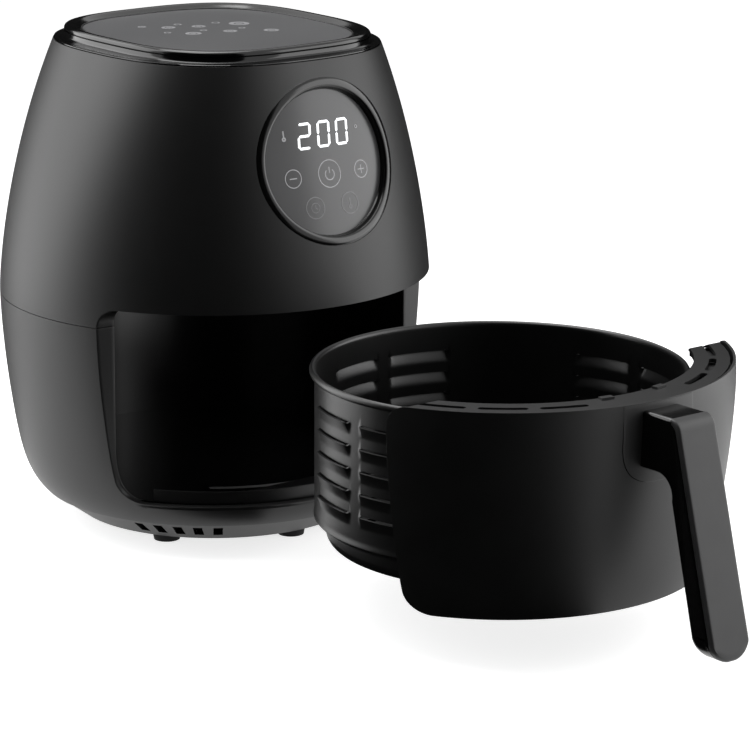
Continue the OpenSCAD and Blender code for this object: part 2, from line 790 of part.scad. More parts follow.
module vent_cover() {
    // crescent between the pot's rim and the panel's top edge
    zt = open_top_z - panel_gap - 1.2;
    color([0.08, 0.08, 0.085]) drawer_at() intersection() {
        opening_prism(-panel_gap - 0.4);
        translate([0, 0, zt - 2.2]) linear_extrude(2.2) difference() {
            polygon(section(zt, panel_wall + 0.5));
            circle(r = rim_r + 0.8, $fn = round_n);
            for (side = [-1, 1]) for (i = [0 : 2])
                slot_arc((rim_r + barrel_r(zt) - panel_wall) / 2 + 0.5, side * (24 + i * 16), 11, 2.2);
        }
    }
}

// Arc-shaped slot with round ends, angle measured from the front
module slot_arc(r, a, span, half) {
    rotate(a - 90 - span / 2) polygon(concat(
        arc(0, 0, r + half, 0, span, 8),
        [for (t = [20 : 20 : 160])
            [r * cos(span) + half * cos(span + t), r * sin(span) + half * sin(span + t)]],
        arc(0, 0, r - half, span, 0, 8),
        [for (t = [200 : 20 : 340]) [r + half * cos(t), half * sin(t)]]));
}

module cover_clips() {
    color([0.05, 0.05, 0.055]) drawer_at() for (a = [-10, 10]) rotate([0, 0, a])
        translate([-4, -rim_r - 5.5, open_top_z - panel_gap - 1.2]) cube([8, 4, 1.2]);
}

// Outline of the escutcheon: straight top and round lower corners
module u_outline(w, h, r) {
    polygon(concat([[w / 2, 0]], [[-w / 2, 0]],
        arc(-w / 2 + r, -h + r, r, 180, 270), arc(w / 2 - r, -h + r, r, 270, 360)));
}

module handle_plate() {
    color([0.03, 0.03, 0.032]) drawer_at() difference() {
        intersection() {
            barrel(lip_z, open_top_z - panel_gap, -1, 8);
            translate([0, -belly_r + 30, open_top_z - panel_gap - 0.4]) rotate([90, 0, 0])
                linear_extrude(50) u_outline(plate_w, plate_h, 19);
        }
        barrel(lip_z - 10, open_top_z + 10, -0.2, 8);
        translate([-handle_w / 2 - 0.3, -200, open_top_z - arm_h - 6.3])
            cube([handle_w + 0.6, 120, arm_h + 20]);
    }
}

arm_top = open_top_z - 5;
arm_y = -front_r(open_top_z - 20);

module handle_bracket() {
    z0 = arm_top - arm_h + 2;
    // front face, clear of the panel's curve at the bracket's lower corners
    y0 = bracket_w * bracket_w / 8 / belly_r + panel_wall + part_gap - barrel_r(z0);
    color([0.5, 0.5, 0.52]) drawer_at() difference() {
        translate([-bracket_w / 2, y0, z0])
            cube([bracket_w, -y0 - pot_r - part_gap, rim_z - 3.6 - z0]);
        for (x = [-6, 6]) translate([x, y0 - 1, arm_top - arm_h / 2 - 2])
            rotate([-90, 0, 0]) cylinder(r = 1.6, h = 13, $fn = 24);
    }
}

arm_bottom = arm_top - arm_h;
tip_z = arm_top - grip_h;
// Front face of the grip's cover at height z, measured forward from the panel
function grip_front(z) = handle_reach + grip_slant * (arm_top - z) / grip_h;
function cover_back(z) = grip_front(z) - cover_t;
function body_front(z) = cover_back(z) - part_gap;
function grip_back(z) = grip_front(z) - grip_t;

// Side view of the handle, first axis forward from the panel, second up
function handle_side() = concat(
    [[0, arm_top]],
    arc(body_front(arm_top) - bend_r + cover_t, arm_top - bend_r, bend_r - cover_t, 90, 0, 8),
    [[body_front(tip_z), tip_z]],
    arc(grip_back(tip_z + tip_r) + tip_r, tip_z + tip_r, tip_r, 270, 180, 6),
    arc(grip_back(arm_bottom - grip_fillet) - grip_fillet, arm_bottom - grip_fillet, grip_fillet, 0, 90, 8),
    [[0, arm_bottom]]);

function cover_side() = concat(
    arc(grip_front(arm_top) - bend_r, arm_top - bend_r, bend_r, 90, 0, 8),
    arc(grip_front(tip_z) - cover_r, tip_z + cover_r, cover_r, 0, -90, 5),
    [[cover_back(tip_z), tip_z]],
    arc(grip_front(arm_top) - bend_r, arm_top - bend_r, bend_r - cover_t, 0, 90, 8));

module side_prism(points, w) {
    translate([w / 2, 0, 0]) rotate([90, 0, -90]) linear_extrude(w) polygon(points);
}

// Front view of the handle with its round lower end, as a prism along Y
module front_prism() {
    translate([0, -belly_r + 60, 0]) rotate([90, 0, 0]) linear_extrude(200) polygon(concat(
        [[handle_w / 2, arm_top + 1], [-handle_w / 2, arm_top + 1]],
        arc(-handle_w / 2 + end_r, tip_z + end_r, end_r, 180, 270, 8),
        arc(handle_w / 2 - end_r, tip_z + end_r, end_r, 270, 360, 8)));
}

module handle_body() {
    color([0.02, 0.02, 0.022]) drawer_at() intersection() {
        translate([0, arm_y - 0.4, 0]) side_prism(handle_side(), handle_w);
        front_prism();
    }
}

module handle_cover() {
    color([0.09, 0.09, 0.095]) drawer_at() intersection() {
        translate([0, arm_y - 0.4, 0]) side_prism(cover_side(), handle_w);
        front_prism();
    }
}

module handle_screws() {
    color([0.7, 0.7, 0.72]) drawer_at() for (x = [-6, 6])
        translate([x, arm_y + panel_wall + 0.6, arm_top - arm_h / 2 - 2]) rotate([-90, 0, 0])
            cylinder(r = 1.5, h = 10, $fn = 24);
}

upper_shell();
lower_shell();
base_tray();
rubber_feet();
shoulder_ring();
top_tray();
top_inlay();
disc_ring();
control_glass();
display_module();
control_board();
cavity_liner();
cavity_floor();
floor_rail();
stop_post();
reflector_plate();
reflector_dome();
seal_ring();
heater_coil();
coil_clips();
hot_air_fan();
motor_shaft();
motor();
motor_bracket();
cooling_fan();
temperature_sensor();
thermal_fuse();
power_board();
switch_housing();
switch_plunger();
outlet_grille();
cord_inlet();
base_posts();
base_screws();
pot();
crisper_plate();
plate_feet();
front_panel();
panel_back();
vent_cover();
cover_clips();
handle_plate();
handle_bracket();
handle_body();
handle_cover();
handle_screws();
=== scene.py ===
# %% [markdown]
# # An air fryer with its drawer pulled out
# The solids of this appliance come ready as a frame, with every part and joint in its place. This
# lesson dresses them. Surfaces that catch the light get a finer skin, worked out with numpy, and
# every part gets a finish of its own.

# %% Load the frame
import json
import math
import bmesh
import bpy
import numpy as np
from mathutils import Matrix, Vector

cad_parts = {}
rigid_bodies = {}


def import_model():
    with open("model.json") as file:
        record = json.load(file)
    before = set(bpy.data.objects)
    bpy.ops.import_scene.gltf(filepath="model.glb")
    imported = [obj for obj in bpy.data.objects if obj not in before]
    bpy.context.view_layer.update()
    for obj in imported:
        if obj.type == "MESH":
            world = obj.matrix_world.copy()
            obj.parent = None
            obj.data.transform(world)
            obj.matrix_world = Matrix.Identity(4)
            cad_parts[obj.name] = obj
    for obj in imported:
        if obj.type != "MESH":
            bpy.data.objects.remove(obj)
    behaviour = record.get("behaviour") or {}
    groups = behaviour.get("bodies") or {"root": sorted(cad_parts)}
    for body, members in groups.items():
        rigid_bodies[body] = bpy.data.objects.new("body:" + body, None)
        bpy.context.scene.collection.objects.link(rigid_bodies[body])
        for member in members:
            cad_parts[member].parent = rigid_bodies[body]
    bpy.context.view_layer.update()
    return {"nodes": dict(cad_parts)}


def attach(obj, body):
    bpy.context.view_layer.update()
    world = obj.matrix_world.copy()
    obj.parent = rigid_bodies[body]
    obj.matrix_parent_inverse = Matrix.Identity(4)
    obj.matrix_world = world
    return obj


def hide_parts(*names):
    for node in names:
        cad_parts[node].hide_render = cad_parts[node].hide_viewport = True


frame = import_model()
MM = 0.001      # one millimetre in Blender's metres
PULL = 272.0    # how far the drawer stands out, in mm

# %% [markdown]
# ## Small tools
# A skin here is a grid of points: rows one way, columns the other. Two short helpers turn grids
# into faces and grids into finished pieces. Making all points at once as arrays is quicker than
# placing them one by one, and a change of one size moves the whole surface.

# %% Grids to faces
def grid(points, around=False, loop=False, flip=False):
    """Quads between neighbours of rows and columns of points. A face's normal is the column step
    crossed with the row step. around joins the last column to the first, loop the last row."""
    m, n = points.shape[:2]
    ids = np.arange(m * n).reshape(m, n)
    if around:
        ids = np.concatenate([ids, ids[:, :1]], 1)
    if loop:
        ids = np.concatenate([ids, ids[:1]], 0)
    quads = np.stack([ids[:-1, :-1], ids[:-1, 1:], ids[1:, 1:], ids[1:, :-1]], -1).reshape(-1, 4)
    return points.reshape(-1, 3), (quads[:, ::-1] if flip else quads)


def together(*parts):
    """Several grids as one, with the later faces counted on from the earlier points."""
    starts = np.cumsum([0] + [len(p) for p, _ in parts])
    return (np.concatenate([p for p, _ in parts]),
            [tuple(f) for (p, q), s in zip(parts, starts) for f in (np.asarray(q) + s).tolist()])


def lid(points, flip=False):
    """A fan from the middle of a closed row of points, to close a hole."""
    n = len(points)
    all_points = np.concatenate([points, points.mean(0, keepdims=True)])
    tri = np.stack([np.arange(n), (np.arange(n) + 1) % n, np.full(n, n)], -1)
    return all_points, (tri[:, ::-1] if flip else tri)


print("grid helpers ready")

# %% Grids to pieces
def placed(name, data):
    """A new object at the origin that carries this data, linked into the scene."""
    obj = bpy.data.objects.new(name, data)
    bpy.context.scene.collection.objects.link(obj)
    return obj


def welded(name, points, faces, outward):
    """Mesh in metres from points in millimetres, with near points joined and slivers dropped."""
    mesh = bpy.data.meshes.new(name)
    mesh.from_pydata((points * MM).tolist(), [], faces)
    bm = bmesh.new()
    bm.from_mesh(mesh)
    bmesh.ops.remove_doubles(bm, verts=bm.verts, dist=2e-5)
    bmesh.ops.dissolve_degenerate(bm, edges=bm.edges, dist=1e-6)
    if outward:
        bmesh.ops.recalc_face_normals(bm, faces=bm.faces)
    bm.to_mesh(mesh)
    bm.free()
    return mesh


def bake(obj, angle):
    """Applies the modifiers and smooths the faces, but for edges sharper than the angle."""
    graph = bpy.context.evaluated_depsgraph_get()
    obj.data = bpy.data.meshes.new_from_object(obj.evaluated_get(graph))
    obj.modifiers.clear()
    obj.data.shade_smooth()
    obj.data.set_sharp_from_angle(angle=math.radians(angle))


def piece(name, parts, body, material, wall=0, bevel=0, angle=35, replaces=(), cut=(),
          outward=False, steps=3):
    """Welds grids given in millimetres into one mesh, gives the sheet a wall on its inner side and
    a rounded edge, lets it ride on a body and names its finish."""
    obj = placed(name, welded(name, *together(*parts), outward))
    if wall:
        solid = obj.modifiers.new("wall", "SOLIDIFY")
        solid.thickness, solid.offset, solid.use_even_offset = wall * MM, -1, True
    if bevel:
        edge = obj.modifiers.new("edge", "BEVEL")
        edge.width, edge.segments = bevel * MM, steps
        edge.limit_method, edge.angle_limit = "ANGLE", math.radians(50)
    bake(obj, angle)
    for cutter in cut:
        hole = obj.modifiers.new("hole", "BOOLEAN")
        hole.object, hole.solver = cutter, "EXACT"
        bake(obj, angle)
    obj.data.materials.clear()
    obj.data.materials.append(material)
    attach(obj, body)
    if replaces:
        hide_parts(*replaces)
    print(f"{name}: {len(obj.data.polygons)} faces")
    return obj


print("piece helper ready")

# %% [markdown]
# ## Finishes
# Almost everything on this appliance is black, so the finishes differ by how they scatter light:
# fine spark-eroded texture on the shells, gloss on the collar, printed glass, non-stick coating.
# One shader group makes the grain that all the moulded and coated parts share, with its own
# scale and strength in each material. The shader itself stays in the material.

# %% Shared groups: moulded grain and fine speckle
def new_group(name, inputs, **outputs):
    """An empty shader group with named number inputs, each with its value, and named outputs."""
    group = bpy.data.node_groups.new(name, "ShaderNodeTree")
    for label, value in inputs.items():
        sock = group.interface.new_socket(label, in_out="INPUT", socket_type="NodeSocketFloat")
        sock.default_value = value
    for label, kind in outputs.items():
        group.interface.new_socket(label, in_out="OUTPUT", socket_type="NodeSocket" + kind)
    return group, group.nodes.new("NodeGroupInput"), group.nodes.new("NodeGroupOutput")


def node(tree, kind, **values):
    """Adds a node; names that match its inputs set those, and the rest set the node itself."""
    made = tree.nodes.new(kind)
    for key, value in values.items():
        label = key.replace("_", " ")
        if label in made.inputs:
            made.inputs[label].default_value = value
        else:
            setattr(made, key, value)
    return made


def wire(tree, *links):
    """Links given as a node, its output, the next node and its input."""
    for a, out, b, into in links:
        tree.links.new(a.outputs[out], b.inputs[into])


grain, gi, go = new_group("moulded_grain", dict(Scale=900.0, Strength=0.08, Low=0.3, High=0.4),
                          Roughness="Float", Normal="Vector")
place = node(grain, "ShaderNodeTexCoord")
fine = node(grain, "ShaderNodeTexNoise", Detail=3.0, Roughness=0.6)
wide = node(grain, "ShaderNodeTexNoise", Scale=9.0, Detail=2.0)
span = node(grain, "ShaderNodeMapRange")
bump = node(grain, "ShaderNodeBump", Distance=0.0002)
wire(grain, (place, "Object", fine, "Vector"), (gi, "Scale", fine, "Scale"),
     (place, "Object", wide, "Vector"), (wide, "Fac", span, "Value"),
     (gi, "Low", span, "To Min"), (gi, "High", span, "To Max"),
     (fine, "Fac", bump, "Height"), (gi, "Strength", bump, "Strength"),
     (span, "Result", go, "Roughness"), (bump, "Normal", go, "Normal"))

speckle, si, so = new_group("fine_speckle", dict(Scale=300.0, Low=0.0, High=1.0), Mask="Float")
place = node(speckle, "ShaderNodeTexCoord")
cells = node(speckle, "ShaderNodeTexNoise", Detail=2.0)
ramp = node(speckle, "ShaderNodeMapRange", From_Min=0.35, From_Max=0.65)
wire(speckle, (place, "Object", cells, "Vector"), (si, "Scale", cells, "Scale"),
     (cells, "Fac", ramp, "Value"), (si, "Low", ramp, "To Min"), (si, "High", ramp, "To Max"),
     (ramp, "Result", so, "Mask"))
print("groups:", [g.name for g in bpy.data.node_groups])

# %% One function for every finish
def tone(value):
    """A colour as it is, or a single number as a grey that is a hair cooler in blue."""
    return (*value, 1) if isinstance(value, tuple) else (value, value, value * 1.03, 1)


def finish(name, dark, light, rough, scale, bumps, metal=0.0, spec=0.5, blotch=60.0):
    """A moulded, coated or metal finish: two close colours mixed by a speckle, a grained roughness
    between two values and a fine bump, on one Principled shader."""
    mat = bpy.data.materials.new(name)
    mat.use_nodes = True
    tree = mat.node_tree
    shader = tree.nodes["Principled BSDF"]
    shader.inputs["Metallic"].default_value = metal
    shader.inputs["Specular IOR Level"].default_value = spec
    g = node(tree, "ShaderNodeGroup", node_tree=grain, Scale=scale, Strength=bumps, Low=rough[0],
             High=rough[1])
    s = node(tree, "ShaderNodeGroup", node_tree=speckle, Scale=blotch)
    mix = node(tree, "ShaderNodeMix", data_type="RGBA")
    mix.inputs[6].default_value, mix.inputs[7].default_value = tone(dark), tone(light)
    wire(tree, (s, "Mask", mix, 0), (mix, 2, shader, "Base Color"),
         (g, "Roughness", shader, "Roughness"), (g, "Normal", shader, "Normal"))
    return mat


SATIN = finish("satin_black_shell", 0.0030, 0.0038, (0.44, 0.50), 1400, 0.10)
LOWER = finish("satin_black_lower_shell", 0.0034, 0.0042, (0.44, 0.50), 1400, 0.10)
PANEL = finish("satin_black_drawer_front", 0.0028, 0.0036, (0.44, 0.50), 1400, 0.10)
TRIM = finish("satin_black_trim", 0.0050, 0.0062, (0.36, 0.42), 1400, 0.08)
GLOSS = finish("gloss_black_collar", 0.0014, 0.0020, (0.10, 0.15), 500, 0.02)
COATED = finish("non_stick_coating", 0.0018, 0.0026, (0.30, 0.38), 1900, 0.12)
LINER = finish("dark_enamel_liner", 0.0016, 0.0024, (0.20, 0.28), 700, 0.05)
SHEET = finish("galvanised_sheet", 0.42, 0.50, (0.28, 0.40), 300, 0.05, metal=1.0, blotch=140)
STEEL = finish("turned_steel", 0.50, 0.58, (0.18, 0.26), 800, 0.04, metal=1.0)
COIL = finish("heater_sheath", (0.10, 0.085, 0.07), (0.17, 0.15, 0.13), (0.35, 0.5), 500, 0.12, metal=1.0)
RUBBER = finish("foot_rubber", 0.012, 0.018, (0.7, 0.85), 900, 0.3, spec=0.3)
SILICONE = finish("silicone_seal", (0.10, 0.10, 0.105), (0.13, 0.13, 0.135), (0.5, 0.6), 700, 0.1)
BOARD = finish("circuit_board", (0.01, 0.06, 0.025), (0.03, 0.13, 0.05), (0.3, 0.45), 400, 0.2,
               blotch=420)
WHITE = finish("white_nylon", 0.62, 0.70, (0.4, 0.5), 900, 0.08)
RED = finish("red_plunger", (0.45, 0.02, 0.015), (0.55, 0.03, 0.02), (0.35, 0.45), 900, 0.08)
BAR = finish("gloss_black_handle", 0.0015, 0.0022, (0.16, 0.22), 700, 0.03)
COVER = finish("satin_grey_handle_cover", 0.018, 0.022, (0.42, 0.50), 1600, 0.10)
GLASS = finish("tinted_control_glass", 0.066, 0.072, (0.22, 0.28), 300, 0.01, blotch=9.0)
INLAY = finish("tinted_top_glass", 0.105, 0.112, (0.26, 0.34), 300, 0.01, blotch=9.0)
PRINT = finish("pale_print", 0.58, 0.64, (0.5, 0.6), 900, 0.05)
FAINT = finish("faint_print", 0.26, 0.30, (0.45, 0.55), 900, 0.05)
TOPMARK = finish("top_print", 0.30, 0.34, (0.26, 0.34), 300, 0.01)
print("finishes:", len(bpy.data.materials))

# %% [markdown]
# The lit figures of the display are the one thing that gives light of its own. Emission at a
# strength near one reads as white without washing out the glass round it.

# %% The lit digits
LIT = finish("lit_digits", 0.8, 0.85, (0.4, 0.5), 900, 0.02)
lit = LIT.node_tree.nodes["Principled BSDF"]
lit.inputs["Emission Color"].default_value = (0.95, 0.98, 1.0, 1)
lit.inputs["Emission Strength"].default_value = 1.1
print("emission strength:", lit.inputs["Emission Strength"].default_value)

# %% [markdown]
# ## The barrel
# The body is one smooth barrel. Its half width swells to the belly and draws in towards the
# shoulder, and its plan turns from a circle at the belly to a rounded square at the top.
# Two formulas hold all of that, and each skin below, shells and drawer front alike, is cut from
# the same surface, so they line up wherever they meet.

# %% The barrel's formulas
BELLY_R, BELLY_Z, TOP_Z, FOOT = 134.0, 144.0, 299.0, 5.0
SEAM, SEAM_GAP, WALL, SHELL_Z = 143.5, 0.4, 2.6, 19.0
DRAW_IN, TAPER, CURL = 43.0, 19.0, 31.0
MOUTH_TOP, MOUTH_LIP, JAMB, PASS = 156.0, 33.5, 49.5, 112.0
R_TOP, R_LOW = 12.0, 14.0


def barrel_r(z):
    """Half width at height z: the belly's, less DRAW_IN times a power of the way up, or less two
    powers of the way down, a gentle one for the flank's taper and a steep one for the foot's curl."""
    up = np.clip((z - BELLY_Z) / (TOP_Z - BELLY_Z), 0, None)
    down = np.clip((BELLY_Z - z) / (BELLY_Z - FOOT), 0, None)
    return BELLY_R - DRAW_IN * up ** 1.64 - TAPER * down ** 1.63 - CURL * down ** 11.3


def plan_shape(z):
    """Superellipse power, depth ratio and forward shift at height z, all growing with the square of
    the way up."""
    up2 = np.clip((z - BELLY_Z) / (TOP_Z - BELLY_Z), 0, None) ** 2
    return 2 + 0.55 * up2, 1 + 0.08 * up2, 3.0 * up2


def plan(r, a, power, deep, shift):
    """Superellipse of half width r: the radius at angle a is r over the power mean of cos and sin,
    and y is stretched by deep and moved forward by shift."""
    c, s = np.cos(a), np.sin(a)
    k = (np.abs(c) ** power + np.abs(s) ** power) ** (-1 / power)
    return r * k * c, r * k * s * deep - shift


def barrel(z, a, inset=0.0):
    """Point of the barrel at height z and angle a, from +X counterclockwise, moved in by inset."""
    z, a = np.broadcast_arrays(np.asarray(z, float), np.asarray(a, float))
    power, deep, shift = plan_shape(z)
    r = barrel_r(z) - inset
    x, y = plan(r, a, power, (barrel_r(z) * deep - inset) / r, shift)
    return np.stack([x, y, z], -1)


def outside(p):
    """How far a point lies outside the barrel: its superellipse radius less the half width there."""
    power, deep, shift = plan_shape(p[..., 2])
    across = np.abs(p[..., 0]) ** power + np.abs((p[..., 1] + shift) / deep) ** power
    return across ** (1 / power) - barrel_r(p[..., 2])


def barrel_normal(p):
    """Unit outward normal, from small differences of the outside measure along the three axes."""
    n = np.stack([outside(p + s) - outside(p - s) for s in np.eye(3) * 0.01], -1)
    return n / np.linalg.norm(n, axis=-1, keepdims=True)


print("half widths:", {z: round(float(barrel_r(np.array(z))), 1) for z in (19, 60, 144, 240, 299)})

# %% Where the drawer's mouth cuts the barrel
def mouth_rows(grow, z_low=None, z_high=None):
    """Heights and depths up the side of the mouth: an arc at the lower corner, a straight jamb and
    an arc at the top corner. grow makes the outline larger all round."""
    rt, rb, y = R_TOP + grow, R_LOW + grow, JAMB - grow
    top, low = MOUTH_TOP + grow, MOUTH_LIP - grow
    t = np.linspace(0, math.pi / 2, 15)
    z = np.concatenate([low + rb * (1 - np.cos(t)), np.linspace(low + rb, top - rt, 44)[1:-1],
                        top - rt + rt * np.sin(t[:-1]), [top]])
    j = np.concatenate([y + rb * (1 - np.sin(t)), np.full(42, y),
                        y + rt * (1 - np.cos(t[:-1])), [y + rt]])
    if z_low is not None or z_high is not None:
        lo, hi = (z[0] if z_low is None else z_low), (z[-1] if z_high is None else z_high)
        inner = (z > lo + 0.05) & (z < hi - 0.05)
        kept = np.concatenate([[lo], z[inner], [hi]])
        z, j = kept, np.interp(kept, z, j)
    return z, j


def halve(past, low, high, times):
    """Where a test turns from no to yes between two arrays of values, by halving the range."""
    for _ in range(times):
        mid = (low + high) / 2
        yes = past(mid)
        low, high = np.where(yes, low, mid), np.where(yes, mid, high)
    return (low + high) / 2


def mouth_angle(z, depth):
    """Angle on the left of the front, from 180 to 270 degrees, at which the barrel's y is -depth."""
    return halve(lambda a: barrel(z, a)[..., 1] < -depth, np.full(z.shape, math.pi),
                 np.full(z.shape, 1.5 * math.pi), 50)


z_try, j_try = mouth_rows(0.0)
print("mouth from", z_try[0], "to", z_try[-1], "in", len(z_try), "rows; angle at the jamb",
      round(math.degrees(float(mouth_angle(np.array([100.0]), np.array([JAMB]))[0])), 1))
BACK, FRONT = 150, 96       # columns round the back and across the front


def back_patch(z, depth):
    """The barrel behind the mouth: each row runs evenly from the right edge round to the left."""
    left = mouth_angle(z, depth)
    right = math.pi - left
    return barrel(z[:, None], right[:, None] + (left - right)[:, None] * np.linspace(0, 1, BACK + 1))


def front_patch(z, depth, columns):
    """The barrel's face across the mouth, each row from its left edge past the front to its right."""
    left = mouth_angle(z, depth)[:, None]
    return barrel(z[:, None], left + (3 * math.pi - 2 * left) * np.linspace(0, 1, columns + 1))


def full_ring(z, z_edge, depth_edge):
    """Whole rows round the barrel, with columns at the same angles as the mouth's edge row."""
    left = float(mouth_angle(np.array([z_edge]), np.array([depth_edge]))[0])
    right = math.pi - left
    a = np.concatenate([right + (left - right) * np.linspace(0, 1, BACK + 1),
                        left + (3 * math.pi - 2 * left) * np.linspace(0, 1, FRONT + 1)[1:-1]])
    return barrel(z[:, None], a[None, :])


print("patch rows and columns:", back_patch(z_try, j_try).shape, front_patch(z_try, j_try, FRONT).shape)

# %% [markdown]
# The two shells are skins of the barrel with a wall on the inner side. A wall from a Solidify
# modifier and a small Bevel give the edge of the mouth the fine bright line that moulded parts
# have. The hole for the control disc and the rear outlet are cut last, and then the outer faces
# get the barrel's own normals, so that the cuts leave no dents in the reflections.

# %% The control disc's place and the cutting tools
DISC_Z, DISC_R, DISC_RIM, DISC_SINK, LEAN, CURVE = 239.5, 44.0, 6.0, 6.2, math.radians(13), 200.0
_, deep_d, shift_d = plan_shape(np.array(DISC_Z))
DISC_Y = float(barrel_r(np.array(DISC_Z)) * deep_d + shift_d) - DISC_SINK
DISC_C = np.array([0, -DISC_Y, DISC_Z])
DISC_X = np.array([1.0, 0, 0])
DISC_U = np.array([0, math.sin(LEAN), math.cos(LEAN)])
DISC_N = np.array([0, -math.cos(LEAN), math.sin(LEAN)])


def on_disc(x, y, h):
    """Point of the disc's own frame: x to the right, y up the lean, h out of the face."""
    x, y, h = np.broadcast_arrays(x, y, h)
    return DISC_C + x[..., None] * DISC_X + y[..., None] * DISC_U + h[..., None] * DISC_N


def glass_height(x):
    """Height of the glass, which curves back sideways on a cylinder of radius CURVE."""
    return np.sqrt(CURVE ** 2 - x ** 2) - CURVE


round_a = np.linspace(0, 2 * math.pi, 161)[:-1]
rim_cut = DISC_R + DISC_RIM + 0.3      # the bezel's outer radius and a fine gap
wall_pts = on_disc(rim_cut * np.cos(round_a)[None], rim_cut * np.sin(round_a)[None],
                   np.array([-20.0, 20.0])[:, None])
ends = lid(wall_pts[0], True), lid(wall_pts[1])
disc_tool = placed("disc_tool", welded("disc_tool", *together(grid(wall_pts, around=True), *ends), True))
OUTLET_X, OUTLET_LOW, OUTLET_HIGH = 46.3, 188.7, 241.3
corners = np.array([[x, y, z] for z in (OUTLET_LOW, OUTLET_HIGH) for x, y in
                    ((-OUTLET_X, 80), (OUTLET_X, 80), (OUTLET_X, 150), (-OUTLET_X, 150))])
box_faces = [(0, 1, 2, 3), (4, 5, 6, 7), (0, 1, 5, 4), (1, 2, 6, 5), (2, 3, 7, 6), (3, 0, 4, 7)]
outlet_tool = placed("outlet_tool", welded("outlet_tool", corners, box_faces, True))
print("disc centre in mm:", DISC_C.round(1).tolist())

# %% Upper and lower shell
def whole(source, name, width, kind=float):
    """One attribute of all vertices, corners or faces, as an array with width numbers for each."""
    out = np.empty(len(source) * width, kind)
    source.foreach_get(name, out)
    return out.reshape(-1, width) if width > 1 else out


def true_normals(obj, shift=0.0):
    """Gives the outer faces the barrel's own normals; all other corners keep what they have."""
    mesh = obj.data
    co = whole(mesh.vertices, "co", 3) / MM + np.array([0, shift, 0])
    loops = whole(mesh.loops, "vertex_index", 1, int)
    face_n = np.repeat(whole(mesh.polygons, "normal", 3), whole(mesh.polygons, "loop_total", 1, int), 0)
    want = barrel_normal(co)[loops]
    use = (np.abs(outside(co)[loops]) < 0.12) & ((face_n * want).sum(-1) > 0.985)
    kept = whole(mesh.corner_normals, "vector", 3)
    mesh.normals_split_custom_set(np.where(use[:, None], want, kept).tolist())
    print(obj.name, "corners with the barrel's normal:", int(use.sum()), "of", len(use))


z_u, j_u = mouth_rows(0.0, z_low=SEAM + SEAM_GAP)
above = full_ring(np.concatenate([[MOUTH_TOP], np.linspace(MOUTH_TOP + 2, TOP_Z, 74)]), MOUTH_TOP,
                  JAMB + R_TOP)
upper = piece("shell_upper", [grid(back_patch(z_u, j_u)), grid(above, around=True)], "housing", SATIN,
              wall=WALL, bevel=0.2, cut=[disc_tool, outlet_tool])
true_normals(upper)
z_l, j_l = mouth_rows(0.0, z_high=SEAM)
below = full_ring(np.linspace(SHELL_Z, MOUTH_LIP, 14), MOUTH_LIP, JAMB + R_LOW)
lower = piece("shell_lower", [grid(back_patch(z_l, j_l)), grid(below, around=True)], "housing", LOWER,
              wall=WALL, bevel=0.2)
true_normals(lower)
for t in (disc_tool, outlet_tool):
    bpy.data.objects.remove(t)

# %% [markdown]
# ## The mouth's frame
# Flat sheets turn inward round the mouth: a jamb on each side that faces forward, a lip along
# the bottom and a short soffit above. Each is a strip whose outer edge follows the barrel, found
# by solving for x on the barrel's superellipse at the strip's own depth and height.

# %% Jambs, lip and soffit
SHY, SWELL = 0.35, 0.15     # how far sheets end inside the barrel, and stand into the mouth
SOFFIT_IN, SOFFIT_SHY = 100.0, 1.3


def barrel_x(y, z):
    """Positive x on the barrel at depth y and height z: what the superellipse leaves for x."""
    power, deep, shift = plan_shape(z)
    rest = np.clip(barrel_r(z) ** power - np.abs((y + shift) / deep) ** power, 0, None)
    return rest ** (1 / power) - SHY


def jamb_sheet(z, depth, side):
    """Strip down the mouth's side profile, from the passage out to the barrel, never under 3 mm wide."""
    x_out = barrel_x(-depth, z)
    x_in = np.minimum(PASS, x_out - 3.0)
    x = x_in[:, None] + (x_out - x_in)[:, None] * np.linspace(0, 1, 7)[None, :]
    pts = np.stack([side * x, np.broadcast_to(-depth[:, None], x.shape),
                    np.broadcast_to(z[:, None], x.shape)], -1)
    return grid(pts, flip=side < 0)


def lip_sheet(front, back):
    """Level sheet at the lip between two depths, from side to side of the barrel."""
    y = np.linspace(front, back, 16)[:, None]
    x = barrel_x(y, np.full(y.shape, MOUTH_LIP)) * np.linspace(-1, 1, 41)[None, :]
    return grid(np.stack([x, np.broadcast_to(y, x.shape), np.full(x.shape, MOUTH_LIP + SWELL)], -1))


def soffit(z):
    """Level ring above the mouth between the reflector and the barrel, from left jamb to right jamb."""
    a = np.linspace(math.radians(209), math.radians(331), 81)
    inner = np.stack([SOFFIT_IN * np.cos(a), SOFFIT_IN * np.sin(a), np.full(a.shape, z)], -1)
    outer = barrel(np.full(a.shape, z), a, SOFFIT_SHY)
    return grid(inner + (outer - inner) * np.linspace(0, 1, 6)[:, None, None])


z_jl, d_jl = mouth_rows(-SWELL, z_high=SEAM)
z_ju, d_ju = mouth_rows(-SWELL, z_low=SEAM + SEAM_GAP)
jambs = [jamb_sheet(z, d, s) for z, d in ((z_jl, d_jl), (z_ju, d_ju)) for s in (-1, 1)]
piece("mouth_jambs", jambs, "housing", TRIM, wall=WALL, bevel=0.3)
lip_front = -float(barrel_r(np.array(MOUTH_LIP)))
piece("mouth_lip", [lip_sheet(lip_front + 0.5, -JAMB - R_LOW + 1)], "housing", TRIM,
      wall=WALL - 0.4, bevel=0.6)
piece("mouth_soffit", [soffit(MOUTH_TOP + 0.05)], "housing", TRIM, wall=WALL)

# %% [markdown]
# A thin bead runs down the inner edge of each jamb, round the lower corner and a little way along
# the lip. It is a round bar swept along that path: at each point two directions across the path
# carry a small circle, so the bead keeps its thickness round the corner. Behind the lip a low
# riser, an arc of thin sheet, steps up to the cavity's floor, and a second bead tops it.

